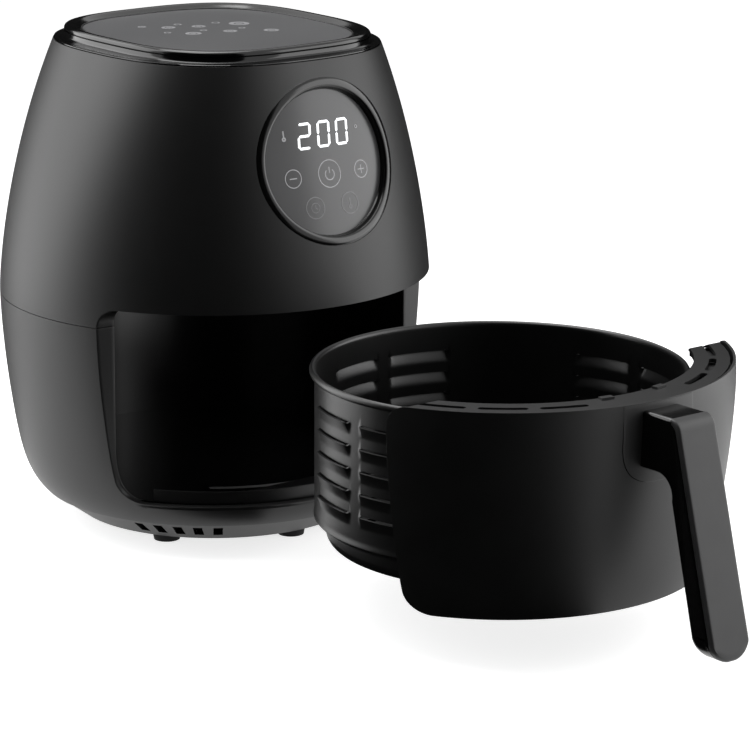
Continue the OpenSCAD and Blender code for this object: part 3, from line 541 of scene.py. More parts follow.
# %% The beads and the riser round the cavity's mouth
BEAD_R, CORNER_Z, LIP_R, RISER_LOW, RISER_TOP = 0.8, 36.0, 113.4, 33.7, 41.3


def sweep(path, radius, closed=False, up=(0, 0, 1.0)):
    """Tube along a path: the tangent is the difference of neighbours, one side vector is the
    tangent crossed with up, the other crosses both, and a circle is laid in that plane."""
    tangent = np.roll(path, -1, 0) - np.roll(path, 1, 0) if closed else np.gradient(path, axis=0)
    tangent = tangent / np.linalg.norm(tangent, axis=-1, keepdims=True)
    side = np.cross(tangent, np.asarray(up, float))
    side = side / np.linalg.norm(side, axis=-1, keepdims=True)
    over = np.cross(side, tangent)
    a = np.linspace(0, 2 * math.pi, 9)[:-1]
    ring = side[:, None] * np.cos(a)[None, :, None] + over[:, None] * np.sin(a)[None, :, None]
    tube = path[:, None] + ring * radius
    parts = [grid(tube, around=True, loop=closed)]
    return parts if closed else parts + [lid(tube[0]), lid(tube[-1], True)]


def jamb_bead(side):
    """Path of the bead on one side: down the inner edge of the jamb, round the lower corner and along
    the back of the lip, evened out and rounded by a running mean."""
    straight = z_jl > CORNER_Z
    z = np.concatenate([z_jl[straight], z_ju[1:-14]])
    depth = np.concatenate([d_jl[straight], d_ju[1:-14]])
    down = np.stack([-np.minimum(PASS, barrel_x(-depth, z) - 3.0), -depth + BEAD_R, z], -1)[::-1]
    a = np.linspace(np.arctan2(down[-1, 1], down[-1, 0]), math.radians(-118), 30)[1:]
    along = np.stack([LIP_R * np.cos(a), LIP_R * np.sin(a), np.full(29, MOUTH_LIP + 0.4)], -1)
    path = np.concatenate([down, along])
    step = np.concatenate([[0], np.cumsum(np.linalg.norm(np.diff(path, axis=0), axis=-1))])
    even = np.linspace(0, step[-1], 200)
    path = np.stack([np.interp(even, step, path[:, k]) for k in range(3)], -1)
    held = np.pad(path, ((5, 5), (0, 0)), mode="edge")
    path = np.stack([np.convolve(held[:, k], np.ones(11) / 11, "valid") for k in range(3)], -1)
    return path * np.array([-side, 1.0, 1.0])


def riser_line(z, radius=113.0, deepest=200.0):
    """Arc along the lip at height z, no further forward than deepest."""
    a = np.radians(np.linspace(-146, -34, 90))
    return np.stack([radius * np.cos(a), np.maximum(radius * np.sin(a), -deepest), np.full(90, z)], -1)


beads = [part for side in (1, -1) for part in sweep(jamb_bead(side), BEAD_R, up=(0.3, 1, 0.2))]
piece("mouth_bead", beads, "housing", TRIM, outward=True, angle=60)
riser = np.array([riser_line(RISER_LOW), riser_line(RISER_TOP), riser_line(RISER_TOP, 112.0, 100.0)])
piece("floor_riser", [grid(riser, flip=True)], "housing", TRIM, wall=0.6)
piece("floor_bead", sweep(riser_line(RISER_TOP + 0.1), 0.7), "housing", TRIM, outward=True,
      angle=60)

# %% [markdown]
# ## Collar, tray rim and tinted top
# Above the shell a gloss collar dips into a shallow trough and climbs to the rim of the top
# tray. Both outlines are superellipses, so every station between them is a mix of the two, with
# its own height. Rounding the rim needs only a few stations close together.

# %% Collar and tray rim
AROUND = np.linspace(0, 2 * math.pi, 321)[:-1]
SHOULDER_R, TRAY_R, TRAY_DEEP = 91.0, 81.0, 1.1


def level_line(half, inset, z, power, deep, shift):
    """Superellipse of half width half at height z, moved in by inset on all sides."""
    x, y = plan(half - inset, AROUND, power, (half * deep - inset) / (half - inset), shift)
    return np.stack([x, y, np.full(x.shape, z)], -1)


def shell_edge(inset, z):
    """The shell's top outline."""
    return level_line(SHOULDER_R, inset, z, *plan_shape(np.array(TOP_Z)))


def tray_edge(inset, z):
    """The tray's outline, fuller, of power three."""
    return level_line(TRAY_R, inset, z, 3.0, TRAY_DEEP, 3.0)


def between(t, z):
    """Mix of the shell's edge and the tray's, t of the way in."""
    return shell_edge(0.5, z) * (1 - t) + tray_edge(0.0, z) * t


def stations(outline, *rows):
    """One outline for every pair of an inset, or a share, and a height."""
    return np.array([outline(*row) for row in rows])


collar = np.concatenate([
    stations(shell_edge, (3.2, 296.5), (3.2, 299.0), (0.6, 299.2), (0.35, 299.5), (0.5, 299.9)),
    stations(between, (0.12, 300.15), (0.3, 299.9), (0.5, 299.75), (0.72, 300.0), (0.88, 300.5),
             (0.97, 301.2)),
    stations(tray_edge, (0.0, 302.2), (0.1, 303.4))])
rim = stations(tray_edge, (0.6, 301.0), (0.5, 303.6), (0.2, 303.9), (0.0, 304.4), (0.1, 305.2),
               (0.5, 306.0), (1.2, 306.6), (2.2, 306.93), (3.2, 307.0), (4.2, 306.85), (5.6, 306.3),
               (7.2, 305.5), (8.8, 304.75), (9.9, 304.3), (10.2, 303.5), (10.2, 302.0))
TOP_SHEET, CROWN = 304.32, 0.35
dome = [(d, TOP_SHEET + CROWN * (1 - ((TRAY_R - d) / 69.0) ** 2)) for d in np.linspace(14, 80.9, 26)]
pane = stations(tray_edge, (9.9, 303.0), (10.0, 304.1), (10.4, 304.3), (12.0, TOP_SHEET), *dome)
piece("collar", [grid(collar, around=True)], "housing", GLOSS, replaces=["shoulder_ring"],
      wall=0.8, angle=50)
piece("top_tray_rim", [grid(rim, around=True)], "housing", GLOSS, replaces=["top_tray"],
      wall=0.6, angle=60)
piece("top_bead", sweep(tray_edge(9.9, 304.45), 0.5, closed=True), "housing", TRIM,
      outward=True, angle=80)
piece("tinted_top", [grid(pane, around=True), lid(pane[-1])], "housing", INLAY,
      replaces=["top_inlay"], wall=0.8, angle=60)
print("stations of collar, rim and pane:", len(collar), len(rim), len(pane))

# %% [markdown]
# ## Control disc
# The bezel's outer edge has to meet the barrel, which curves both ways there. So for each
# direction round the disc the height of the barrel over the disc's plane is found by halving an
# interval, and the bezel's cross-section is hung from that height down to the glass.

# %% Bezel
TURN = np.linspace(0, 2 * math.pi, 241)[:-1]


def skin_height(radius):
    """Height above the disc's plane, for every direction, at which the disc's axis moved out by
    radius meets the barrel."""
    x, y = radius * np.cos(TURN), radius * np.sin(TURN)
    return halve(lambda h: outside(on_disc(x, y, h)) > 0, np.full(TURN.shape, -15.0),
                 np.full(TURN.shape, 15.0), 40)


def bezel_ring(radius, height):
    """One station of the bezel: a circle of that radius with a height for every direction."""
    return on_disc(radius * np.cos(TURN), radius * np.sin(TURN), height)


outer = skin_height(DISC_R + DISC_RIM)
floor_h = glass_height(DISC_R * np.cos(TURN))
bezel = [bezel_ring(r, outer - d) for r, d in ((49.9, 5.0), (49.9, 0.9), (49.75, 0.45), (49.3, 0.2))]
bezel += [bezel_ring(r, skin_height(r) - d) for r, d in
          ((48.0, 0.05), (46.6, 0.05), (45.7, 0.3), (45.15, 0.9), (44.9, 1.7))]
bezel += [bezel_ring(44.7, (skin_height(44.7) - 1.7) * 0.5 + floor_h * 0.5)]
bezel += [bezel_ring(r, floor_h + d) for r, d in ((44.5, 0.35), (44.1, 0.1), (43.8, -1.2))]
piece("disc_bezel", [grid(np.array(bezel), around=True, flip=True)], "housing", BAR,
      replaces=["disc_ring"], angle=50, wall=0.6)
rings = np.linspace(0.02, 1, 24)[:, None]
gx, gy = DISC_R * rings * np.cos(TURN)[None], DISC_R * rings * np.sin(TURN)[None]
glass = on_disc(gx, gy, glass_height(gx))
piece("disc_glass", [grid(glass, around=True, flip=True), lid(glass[0])], "housing", GLASS,
      replaces=["control_glass"], angle=60, wall=1.2)
print("bezel over the glass, top and side:", (outer - glass_height(50 * np.cos(TURN))).round(1)[[60, 0]])

# %% [markdown]
# ## Printed marks
# The marks on the glass are thin slabs that stand a tenth of a millimetre proud, cut with the
# glass's own curve. A stroke is a path in the disc's plane with a width; the figures are strokes
# whose ends taper like the segments of a lit display. All marks are general ones: signs,
# a clock, a thermometer and the on and off symbol.

# %% Strokes on the glass
def stroke(xy, width, closed=False, top=0.12):
    """Slab along a path: each point is moved half the width to both sides across the path, and
    the pair is lifted to just under the glass and a little above it."""
    xy = np.asarray(xy, float)
    t = np.roll(xy, -1, 0) - np.roll(xy, 1, 0) if closed else np.gradient(xy, axis=0)
    t = t / np.linalg.norm(t, axis=-1, keepdims=True)
    n = np.stack([-t[:, 1], t[:, 0]], -1) * (np.broadcast_to(width, len(xy))[:, None] / 2)
    sides = np.stack([xy + n, xy - n, xy - n, xy + n], 1)
    lift = glass_height(sides[..., 0]) + np.array([-0.05, -0.05, top, top])
    block = on_disc(sides[..., 0], sides[..., 1], lift)
    parts = [grid(block, around=True, loop=closed)]
    return parts if closed else parts + [lid(block[0]), lid(block[-1], True)]


def circle(cx, cy, r, a0=0.0, a1=360.0, count=49):
    """Points on an arc of radius r about a centre, in degrees."""
    a = np.radians(np.linspace(a0, a1, count))
    return np.stack([cx + r * np.cos(a), cy + r * np.sin(a)], -1)


def ring_mark(cx, cy, r, width=0.5):
    """A whole circle as one closed stroke."""
    return stroke(circle(cx, cy, r)[:-1], width, closed=True)


FIGURE_W, FIGURE_H, BAR_T, SLANTED = 4.0, 7.2, 1.55, 0.09
BARS = {"a": (-1, 1, 1, 1), "b": (1, 1, 1, 0), "c": (1, 0, 1, -1), "d": (-1, -1, 1, -1),
        "e": (-1, 0, -1, -1), "f": (-1, 1, -1, 0), "g": (-1, 0, 1, 0)}


def figure(cx, cy, bars):
    """Seven bars on a small grid: each runs between two corners, stops short of them and tapers."""
    made = []
    for bar in bars:
        p, q = np.reshape(BARS[bar], (2, 2)) * (FIGURE_W, FIGURE_H)
        along = (q - p) / np.linalg.norm(q - p)
        stops = np.array([0.25, 0.25 + BAR_T / 2, -0.25 - BAR_T / 2, -0.25])[:, None]
        xy = np.where(stops > 0, p + along * stops, q + along * stops)
        xy = np.stack([xy[:, 0] + SLANTED * xy[:, 1] + cx, xy[:, 1] + cy], -1)
        made += stroke(xy, np.array([0.15, BAR_T, BAR_T, 0.15]), top=0.16)
    return made


def printed(name, parts, material):
    """Marks as one piece of the housing."""
    piece(name, parts, "housing", material, outward=True, angle=30)


digits = figure(-14, 17, "abged") + figure(0, 17, "abcdef") + figure(14, 17, "abcdef")
printed("lit_figures", digits, LIT)
marks = ring_mark(-25.5, -7, 5.4) + ring_mark(0.5, -7, 8.2) + ring_mark(25.5, -7, 5.2)
marks += stroke([(-27.9, -7), (-23.1, -7)], 0.6)
marks += stroke([(22.9, -7), (28.1, -7)], 0.5) + stroke([(25.5, -9.6), (25.5, -4.4)], 0.5, top=0.1)
marks += stroke(circle(0.5, -7.4, 3.3, 130, 410, 33), 0.6) + stroke([(0.5, -6.6), (0.5, -3.0)], 0.6)
marks += stroke([(-28.2, 17.6), (-28.2, 21.8)], 0.9) + ring_mark(-28.2, 16.8, 0.9, 0.9)
marks += ring_mark(26.0, 18.6, 0.9, 0.35)
printed("signs_on_glass", marks, PRINT)
faint = ring_mark(-13, -26, 6.4) + ring_mark(13, -26, 6.4) + ring_mark(-13, -26, 2.9, 0.4)
faint += stroke([(-13, -24.1), (-13, -26), (-11.6, -26.9)], 0.4)
faint += stroke([(13, -27.2), (13, -22.9)], 0.8) + ring_mark(13, -28.2, 1.0, 0.7)
printed("faint_signs", faint, FAINT)

# %% [markdown]
# The tinted top carries loosely scattered rings in a faint print: larger ones with a dot of a
# ring inside, and small plain ones. They are flat bands laid just over the glass, all made by one
# function of centre, radius and width.

# %% Small rings on the top
def flat_ring(cx, cy, r, width):
    """Thin closed ring on the top: four corners of its section turned about its centre."""
    a = np.linspace(0, 2 * math.pi, 33)[:-1]
    rr = np.array([r - width / 2, r + width / 2, r + width / 2, r - width / 2])
    x, y = cx + rr[None] * np.cos(a)[:, None], cy + rr[None] * np.sin(a)[:, None]
    base = TOP_SHEET + CROWN * (1 - (np.hypot(cx, cy) / 80) ** 2)
    z = np.broadcast_to(base + np.array([-0.05, -0.05, 0.07, 0.07]), x.shape)
    return grid(np.stack([x, y, z], -1), around=True, loop=True)


spots = [(-30.1, 33.7, 2.6), (-18.8, 21.5, 4.2), (-1.4, 13.8, 4.2), (25.3, 7.9, 6.2), (-19.7, -5.9, 4.8),
         (3.5, -12.2, 4.2), (26.0, -24.2, 4.6)]
small = [(-7.3, 27.8, 2.0), (15.4, 19.0, 2.2), (-7.8, 0.0, 1.8), (16.4, -6.9, 1.8), (-30.6, 5.9, 1.8)]
bands = [flat_ring(x, y, r * 0.8, r * 0.5) for x, y, r in spots] + [flat_ring(*s, 1.0) for s in small]
bands += [flat_ring(x, y, r * 0.22, r * 0.3) for x, y, r in spots]
printed("faint_rings", bands, TOPMARK)

# %% [markdown]
# ## The louvred pot
# On the real pot each louvre is lanced: the sheet is slit along the top and the strip below is
# pushed outwards, so that air passes but food doesn't. The pot is one grid round its axis. The
# wall's radius grows below each slit and falls back to zero over a few millimetres, and only
# the thin row of faces at the slit itself is left out. Solidify then gives sheet thickness.

# %% The pot's wall, rim and bowl
POT_R, POT_Z, POT_RIM, BOWL_H, BOWL_BEND = 106.0, 42.5, 146.5, 14.0, 8.0
ROWS, ROW_TOP, ROW_PITCH, HOOD, SPAN, CREASE = 5, 16.0, 13.0, 2.5, 11.5, 7.5
CENTRES = np.array([g + s * 13.25 for g in (0.0, 90.0, 180.0) for s in (-1, 1)])
row_z = POT_RIM - ROW_TOP - ROW_PITCH * np.arange(ROWS)


def pot_angles():
    """Columns round the pot in degrees, closest at the louvres' ends and widest on the plain wall."""
    one = np.concatenate([np.linspace(-13.2, -9.6, 10), np.linspace(-9.6, 9.6, 15)[1:-1],
                          np.linspace(9.6, 13.2, 10)])
    louvres = (CENTRES[:, None] + one[None]).ravel()
    plain = np.concatenate([np.linspace(28, 62, 16), np.linspace(118, 152, 16), np.linspace(208, 332, 60)])
    return np.unique(np.round(np.concatenate([louvres, plain]) % 360, 4))


def lift_of(a_deg, z):
    """How far the wall stands out at angle and height: the hood times a smooth end mask times a
    ramp that starts at the slit and ends in a crease below it."""
    away = np.abs((a_deg[None, :, None] - CENTRES[None, None, :] + 180) % 360 - 180).min(-1)
    ends = np.clip((SPAN - away) / 1.9, 0, 1)
    ends = ends * ends * (3 - 2 * ends)
    t = (row_z[None, :] - z[:, None]) / CREASE
    ramp = np.where((t > 0.06) & (t < 1), np.clip(1 - t, 0, 1) ** 1.5 * (1 + 0.3 * t), 0.0).max(-1)
    return HOOD * ends * ramp[:, None], away


steps = np.array([0.0, -0.75, -0.8, -2.0, -3.2, -4.4, -5.6, -6.6, -7.5, -8.1])
wall_z = np.concatenate([[143.0, 139.0, 135.0]] + [z + steps for z in row_z] + [[68.0, 64.0]])
a_deg = pot_angles()
lift, away = lift_of(a_deg, wall_z)
bowl_top = POT_Z + BOWL_H
head = np.array([(106.6, 143.5), (107.2, 143.8), (107.5, 144.4), (107.5, 145.0), (107.2, 145.6),
                 (106.6, 145.9), (106.0, 145.7), (105.6, 145.2), (105.5, 144.5)])
tail = np.array([(105.5, 5.2), (105.9, 4.2), (105.9, 3.2), (105.2, 2.4), (103.5, 1.8), (101.6, 1.5),
                 (100.0, 0.9), (99.1, -0.3), (99.0, -2.0), (99.0, 8 - BOWL_H)]) + (0, bowl_top)
turn = np.radians(np.linspace(0, 90, 9))[1:]
base = np.stack([91.0 + BOWL_BEND * np.cos(turn), POT_Z + 8.5 - BOWL_BEND * np.sin(turn)], -1)
flat = np.stack([np.linspace(84, 1.5, 18), np.full(18, POT_Z + 0.5)], -1)
under = np.concatenate([tail, base, flat])
plain_rows = np.ones(len(a_deg))
radii = np.concatenate([head[:, :1] * plain_rows, POT_R - 0.5 + lift, under[:, :1] * plain_rows])
heights = np.concatenate([head[:, 1], wall_z, under[:, 1]])[:, None] * plain_rows
rad = np.radians(a_deg)
pot_pts = np.stack([radii * np.cos(rad), radii * np.sin(rad) - PULL, heights], -1)
print("pot grid:", pot_pts.shape[:2], "widest hood in mm:", round(float(lift.max()), 2))

# %% Leave the slits open
verts, quads = grid(pot_pts, around=True, flip=True)
row_of = (np.arange(len(quads)) // len(a_deg)) - len(head)
slit_rows = 3 + len(steps) * np.arange(ROWS)
inside = away.ravel() < SPAN - 1.4
inside = (inside & np.roll(inside, -1))[np.arange(len(quads)) % len(a_deg)]
keep = ~(np.isin(row_of, slit_rows) & inside)
piece("pot_skin", [(verts, quads[keep]), lid(pot_pts[-1], True)], "drawer", COATED,
      wall=0.9, angle=38, replaces=["pot"])
print("slit faces left out:", int((~keep).sum()))

# %% [markdown]
# ## Drawer front, catch plate and handle
# The drawer front is the same barrel surface, one panel gap smaller than the mouth and moved
# out with the drawer. Its rim turns over in a small bevel that catches light all round.

# %% Drawer front
GAP, SKIN = 0.8, 1.6
panel_pts = front_patch(*mouth_rows(-GAP), 150) - np.array([0, PULL, 0])
front = piece("drawer_front", [grid(panel_pts)], "drawer", PANEL, wall=SKIN, bevel=0.6,
              replaces=["front_panel"], steps=4)
true_normals(front, shift=PULL)


def on_front(x, z, proud):
    """Point of the drawer front at x and height z, lifted outwards along the barrel's normal."""
    power, deep, shift = plan_shape(z)
    y = -deep * np.clip(barrel_r(z) ** power - np.abs(x) ** power, 0, None) ** (1 / power) - shift
    p = np.stack([x, y, z], -1)
    return p + barrel_normal(p) * np.asarray(proud)[..., None] - np.array([0, PULL, 0])


# %% [markdown]
# The vent cover behind the front's top edge has slots, and the eye should meet the dark through
# them. On the real drawer the inner walls see to that. Here a level crescent of sheet lies a little
# below the cover, which takes fewer faces than walls and stays out of the pot's way.

# %% Baffle under the vent cover
BAFFLE_Z, BAFFLE_END, BAFFLE_IN, TAB_H = 150.4, 57.8, 110.2, 1.6


def baffle(count):
    """Level crescent. Both its edges end at the same depth, so each starts at the angle whose sine
    is that depth over its radius."""
    edges = []
    for r in (BAFFLE_IN, float(barrel_r(np.array(BAFFLE_Z))) - 3.2):
        e = math.asin(BAFFLE_END / r)
        a = np.linspace(math.pi + e, 2 * math.pi - e, count)
        edges.append(np.stack([r * np.cos(a), r * np.sin(a) - PULL, np.full(count, BAFFLE_Z)], -1))
    t = np.linspace(0, 1, 5)[:, None, None]
    return edges[0] + (edges[1] - edges[0]) * t


shelf = baffle(61)
tabs = [grid(np.stack([shelf[:, k], shelf[:, k] + np.array([0, 0, TAB_H])])) for k in (0, -1)]
piece("vent_baffle", [grid(shelf, flip=True)] + tabs, "drawer", PANEL, wall=0.8)

# %% [markdown]
# The catch plate is a satin U on the front, right under the arm. It hugs the barrel's curve, so it
# is made from the front's own surface, lifted along its normal by a fraction of a millimetre. A
# slightly larger and lower gloss U behind it is the fine seam that parts the two.

# %% Catch plate under the arm
PLATE_W, PLATE_H, U_POWER = 51.0, 45.0, 2.6


def catch_plate(proud, inset=0.0):
    """U shape: straight sides down from the top edge, then a superellipse that closes to a pole at
    the lowest point. Rows run down it, columns across."""
    top_z = MOUTH_TOP - GAP - 0.6
    v = np.concatenate([np.linspace(0, 0.5, 12)[:-1], 0.5 + 0.5 * np.sin(np.linspace(0, math.pi / 2, 22))])
    depth = (PLATE_H - inset) * v
    lower = np.clip((v - 0.42) / 0.58, 0, 1)
    half = (PLATE_W / 2 - inset) * np.clip(1 - lower ** U_POWER, 1e-6, 1) ** (1 / U_POWER)
    x = half[:, None] * np.linspace(-1, 1, 33)[None]
    z = np.broadcast_to((top_z - depth)[:, None], x.shape)
    return on_front(x, z, np.full(x.shape, proud))


piece("catch_plate", [grid(catch_plate(0.28), flip=True)], "drawer", PANEL, wall=0.5, bevel=0.15,
      replaces=["handle_plate"])
piece("catch_plate_seam", [grid(catch_plate(0.10, -0.35), flip=True)], "drawer", GLOSS, wall=0.3)

# %% [markdown]
# The handle is an L seen from the side: an arm out of the panel and a grip that slants outwards
# to a round tongue. Its side outline is one closed row of points. Carrying that outline across
# the width, pulled in a little at both ends for a rounded edge and raised near the sides for
# the tongue's end, gives the whole body. The satin cover on the front is made the same way.

# %% Side outlines
ARM_TOP, ARM_LOW, REACH, SLANT, GRIP_H, GRIP_T, COVER_T = 151.0, 119.0, 28.5, 32.0, 129.0, 17.0, 4.0
TIP_Z, HANDLE_W, ARM_Y = ARM_TOP - GRIP_H, 27.0, -134.2
BEND, FILLET, TIP_R, END_R, TONGUE = 8.0, 12.0, 6.0, 12.0, 34.0


def forward(z):
    """How far the grip's front face stands before the panel at height z."""
    return REACH + SLANT * (ARM_TOP - z) / GRIP_H


def bow(cy, cz, r, a0, a1, n):
    """Arc in the side view, first axis forward and second up, in degrees."""
    a = np.radians(np.linspace(a0, a1, n))
    return np.stack([cy + r * np.cos(a), cz + r * np.sin(a)], -1)


def run(p, q, n):
    """Straight row of points between two ends, both left out."""
    t = np.linspace(0, 1, n + 2)[1:-1, None]
    return np.array(p) + (np.array(q) - np.array(p)) * t


def chain(*parts):
    """One closed row of points. A number between two arcs or corners stands for that many evenly
    spaced points on the straight line between them."""
    rows = [np.atleast_2d(part) for part in parts]
    for k in range(1, len(parts), 2):
        rows[k] = run(rows[k - 1][-1], rows[(k + 1) % len(parts)][0], parts[k])
    return np.concatenate(rows)


def body_outline():
    """Body's side view: top of the arm, bend, down behind the cover, round the tip, up the grip's
    back, the inner fillet and back under the arm."""
    face, r = COVER_T + 0.3, BEND - COVER_T
    bend = bow(forward(ARM_TOP) - face - r, ARM_TOP - r, r, 90, 8, 9)
    back = forward(TIP_Z + TIP_R) - GRIP_T
    tip = bow(back + TIP_R, TIP_Z + TIP_R, TIP_R, 270, 186, 9)
    fillet = bow(forward(ARM_LOW - FILLET) - GRIP_T - FILLET, ARM_LOW - FILLET, FILLET, -8, 90, 13)
    return chain([-3.5, ARM_TOP], 6, bend, 30, [forward(TIP_Z) - face, TIP_Z], 4, tip, 26, fillet, 5,
                 [-3.5, ARM_LOW], 6)


def cover_outline():
    """Cover's side view: the bend at the top, the front face down to the tip, a small radius and
    back up the inner face."""
    bend = bow(forward(ARM_TOP) - BEND, ARM_TOP - BEND, BEND, 90, 8, 12)
    low = bow(forward(TIP_Z) - 2.5, TIP_Z + 2.5, 2.5, -5, -85, 7)
    low = np.concatenate([low, [[forward(TIP_Z) - COVER_T, TIP_Z + 0.2]]])
    inner = bow(forward(ARM_TOP) - BEND, ARM_TOP - BEND, BEND - COVER_T, 8, 90, 9)
    return chain(bend, 34, low, 34, inner, 2)


print("outline points:", len(body_outline()), len(cover_outline()))

# %% Carry an outline across the width
def across(outline, round_edge):
    """Stations from side to side. Each is the outline moved in along its own normal by a quarter
    circle at the edges, with its low end raised where the tongue's front view is round. Both end
    rows are closed by one flat face."""
    nxt = np.roll(outline, -1, 0)
    t = nxt - np.roll(outline, 1, 0)
    t = t / np.maximum(np.linalg.norm(t, axis=-1, keepdims=True), 1e-9)
    area = (outline[:, 0] * nxt[:, 1] - nxt[:, 0] * outline[:, 1]).sum()
    inward = np.stack([-t[:, 1], t[:, 0]], -1) * np.sign(area)
    q = np.radians(np.linspace(0, 90, 7))
    half = HANDLE_W / 2
    edge_x, edge_pull = -half + round_edge * (1 - np.cos(q)), round_edge * (1 - np.sin(q))
    x = np.concatenate([edge_x, np.linspace(edge_x[-1], -edge_x[-1], 26)[1:-1], -edge_x[::-1]])
    pull = np.concatenate([edge_pull, np.zeros(24), edge_pull[::-1]])
    pts = outline[None] + inward[None] * pull[:, None, None]
    over = np.clip(np.abs(x) - (half - END_R), 0, END_R * 0.999)
    rise = END_R - np.sqrt(END_R ** 2 - over ** 2)
    share = np.clip((TIP_Z + TONGUE - pts[..., 1]) / TONGUE, 0, 1)
    up = rise[:, None] * share
    fwd = pts[..., 0] - SLANT / GRIP_H * up
    solid = np.stack([np.broadcast_to(x[:, None], up.shape), ARM_Y - PULL - fwd, pts[..., 1] + up], -1)
    flat = np.arange(len(outline))[None, :]
    return [grid(solid, around=True), (solid[0], flat), (solid[-1], flat)]


print("stations of the body:", len(across(body_outline(), 2.2)[0][0]) // len(body_outline()))

# %% Handle pieces
piece("handle_bar", across(body_outline(), 2.2), "drawer", BAR, outward=True, angle=40,
      replaces=["handle_body"])
piece("handle_front", across(cover_outline(), 1.3), "drawer", COVER, outward=True, angle=40,
      replaces=["handle_cover"])

# %% [markdown]
# ## Finishes for the parts that stay as they are
# The remaining frame parts have the right shape already, so each only takes a finish. The two
# shells come off here too, because the skins above and the frame sheets stand for them.

# %% Dress the frame's own parts
def dress(material, *names):
    """Puts one finish on every material slot of these frame parts."""
    for name in names:
        for place in frame["nodes"][name].material_slots:
            place.material = material


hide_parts("upper_shell")
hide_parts("lower_shell")
dress(LOWER, "base_tray")
dress(PANEL, "panel_back", "cover_clips")
dress(TRIM, "vent_cover", "stop_post", "cord_inlet", "switch_housing", "outlet_grille")
dress(LINER, "cavity_liner", "cavity_floor", "floor_rail")
dress(SHEET, "reflector_plate", "reflector_dome", "motor", "motor_bracket", "handle_bracket")
dress(STEEL, "motor_shaft", "temperature_sensor", "coil_clips", "hot_air_fan", "base_screws",
      "handle_screws")
dress(COIL, "heater_coil")
dress(COATED, "crisper_plate")
dress(RUBBER, "rubber_feet")
dress(SILICONE, "seal_ring", "plate_feet")
dress(BOARD, "power_board", "control_board")
dress(WHITE, "cooling_fan", "display_module", "thermal_fuse", "base_posts")
dress(RED, "switch_plunger")
shown = {name: obj for name, obj in frame["nodes"].items() if not obj.hide_render}
plain = [name for name, obj in shown.items() if not obj.active_material
         or "Group" not in obj.active_material.node_tree.nodes]
print("frame parts shown:", len(shown), "without a finish:", plain)

# %% [markdown]
# ## Camera, floor and light
# The camera stands at the height of a seated viewer, well back with a long lens, so that the
# upright edges stay upright. Black plastic shows only what it mirrors, so the light is built for
# its reflections: a soft panel on either side, a broad one above, and dark cards between them.

# %% Camera
cam_data = bpy.data.cameras.new("camera")
cam_data.lens, cam_data.sensor_width, cam_data.clip_end = 175.0, 36.0, 30.0
cam = placed("camera", cam_data)
az, dist, high = math.radians(-36.36), 2.22096, 0.66586
yaw, pitch, roll = (math.radians(v) for v in (-38.94, 14.64, 0.272))
cam.matrix_world = (Matrix.Translation((dist * math.sin(az), -dist * math.cos(az), high))
                    @ Matrix.Rotation(yaw, 4, "Z") @ Matrix.Rotation(math.pi / 2 - pitch, 4, "X")
                    @ Matrix.Rotation(roll, 4, "Z"))
bpy.context.scene.camera = cam
print("camera at", [round(v, 3) for v in cam.matrix_world.translation])

# %% Floor and world
def seen_mask(tree):
    """One where the camera, a mirror reflection or a look through glass sees the surface."""
    path = node(tree, "ShaderNodeLightPath")
    most = node(tree, "ShaderNodeMath", operation="MAXIMUM")
    both = node(tree, "ShaderNodeMath", operation="MAXIMUM")
    wire(tree, (path, "Is Camera Ray", most, 0), (path, "Is Glossy Ray", most, 1), (most, 0, both, 0),
         (path, "Is Transmission Ray", both, 1))
    return both


mesh = bpy.data.meshes.new("floor")
mesh.from_pydata([(-6, -6, 0), (6, -6, 0), (6, 6, 0), (-6, 6, 0)], [], [(0, 1, 2, 3)])
floor = placed("floor", mesh)
white = bpy.data.materials.new("white_floor")
white.use_nodes = True
tree = white.node_tree
tree.nodes.remove(tree.nodes["Principled BSDF"])
matte = node(tree, "ShaderNodeBsdfDiffuse", Color=(0.8, 0.8, 0.8, 1))
glow = node(tree, "ShaderNodeEmission", Color=(1, 1, 1, 1))
both = node(tree, "ShaderNodeAddShader")
share = node(tree, "ShaderNodeMath", operation="MULTIPLY")
share.inputs[1].default_value = 0.76
wire(tree, (seen_mask(tree), 0, share, 0), (share, 0, glow, "Strength"), (matte, 0, both, 0),
     (glow, 0, both, 1), (both, 0, tree.nodes["Material Output"], "Surface"))
floor.data.materials.append(white)

world = bpy.data.worlds.new("studio")
bpy.context.scene.world = world
world.use_nodes = True
tree = world.node_tree
mix = node(tree, "ShaderNodeMix", data_type="RGBA")
mix.inputs[6].default_value, mix.inputs[7].default_value = (0.28, 0.28, 0.28, 1), (1, 1, 1, 1)
wire(tree, (seen_mask(tree), 0, mix, 0), (mix, 2, tree.nodes["Background"], "Color"))
tree.nodes["Background"].inputs["Strength"].default_value = 1.0
print("world and floor ready")

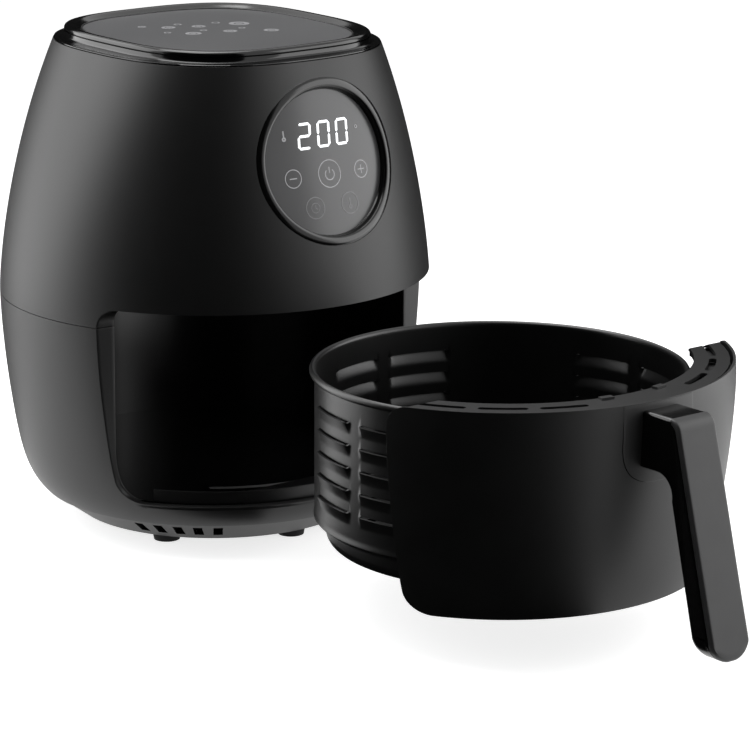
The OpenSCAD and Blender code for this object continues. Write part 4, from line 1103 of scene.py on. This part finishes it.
# %% Lamps
def softbox(name, where, target, width, height, power):
    """Rectangular area lamp that faces a target point."""
    data = bpy.data.lights.new(name, "AREA")
    data.shape, data.size, data.size_y, data.energy = "RECTANGLE", width, height, power
    obj = placed(name, data)
    obj.location = where
    obj.rotation_euler = (Vector(target) - Vector(where)).to_track_quat("-Z", "Y").to_euler()
    obj.visible_camera = False


def spot(azimuth, distance, height):
    """Point at an angle round the object, as seen from the front, clockwise seen from above."""
    a = math.radians(azimuth)
    return (distance * math.sin(a), -0.1 - distance * math.cos(a), height)


softbox("left_panel", spot(-146, 0.75, 0.42), (0, -0.10, 0.20), 0.72, 0.85, 5.0)
softbox("right_panel", spot(53, 0.85, 0.42), (0, -0.14, 0.20), 0.80, 0.85, 5.0)
softbox("top_panel", (-0.1, 0.35, 1.5), (0, -0.1, 0.2), 1.3, 0.9, 15)

# %% [markdown]
# Two black cards, one in front and one behind, lie on the floor round the object and stand up
# further out. The camera looks past them, but mirror reflections meet them, as they would meet the
# dark parts of a real studio. Without them the white floor would turn the lower walls pale.

# %% Dark cards
black = bpy.data.materials.new("black_felt")
black.use_nodes = True
felt = black.node_tree.nodes["Principled BSDF"].inputs
felt["Base Color"].default_value = (0.006, 0.006, 0.006, 1)
felt["Roughness"].default_value, felt["Specular IOR Level"].default_value = 0.95, 0.1
CARD_IN, CARD_OUT, CARD_LOW, CARD_Y = 40.0, 820.0, 1.5, -120.0


def dark_card(name, start, stop, top):
    """Card between two angles about a point in front of the body's axis. It lies on the floor from
    CARD_IN to CARD_OUT and stands there up to top. Only mirror reflections see it."""
    a = np.radians(np.linspace(start, stop, 25))
    rows = [np.stack([r * np.sin(a), CARD_Y - r * np.cos(a), np.full(25, z)], -1)
            for r, z in ((CARD_IN, CARD_LOW), (CARD_OUT, CARD_LOW), (CARD_OUT, top))]
    points, faces = grid(np.stack(rows))
    mesh = bpy.data.meshes.new(name)
    mesh.from_pydata((points * MM).tolist(), [], faces.tolist())
    card = placed(name, mesh)
    card.visible_camera = card.visible_shadow = card.visible_diffuse = False
    card.data.materials.append(black)


dark_card("front_card", -112, -3, 1700.0)
dark_card("back_card", 83, 196, 650.0)

# %% Picture settings
bpy.context.scene.view_settings.view_transform = "Standard"
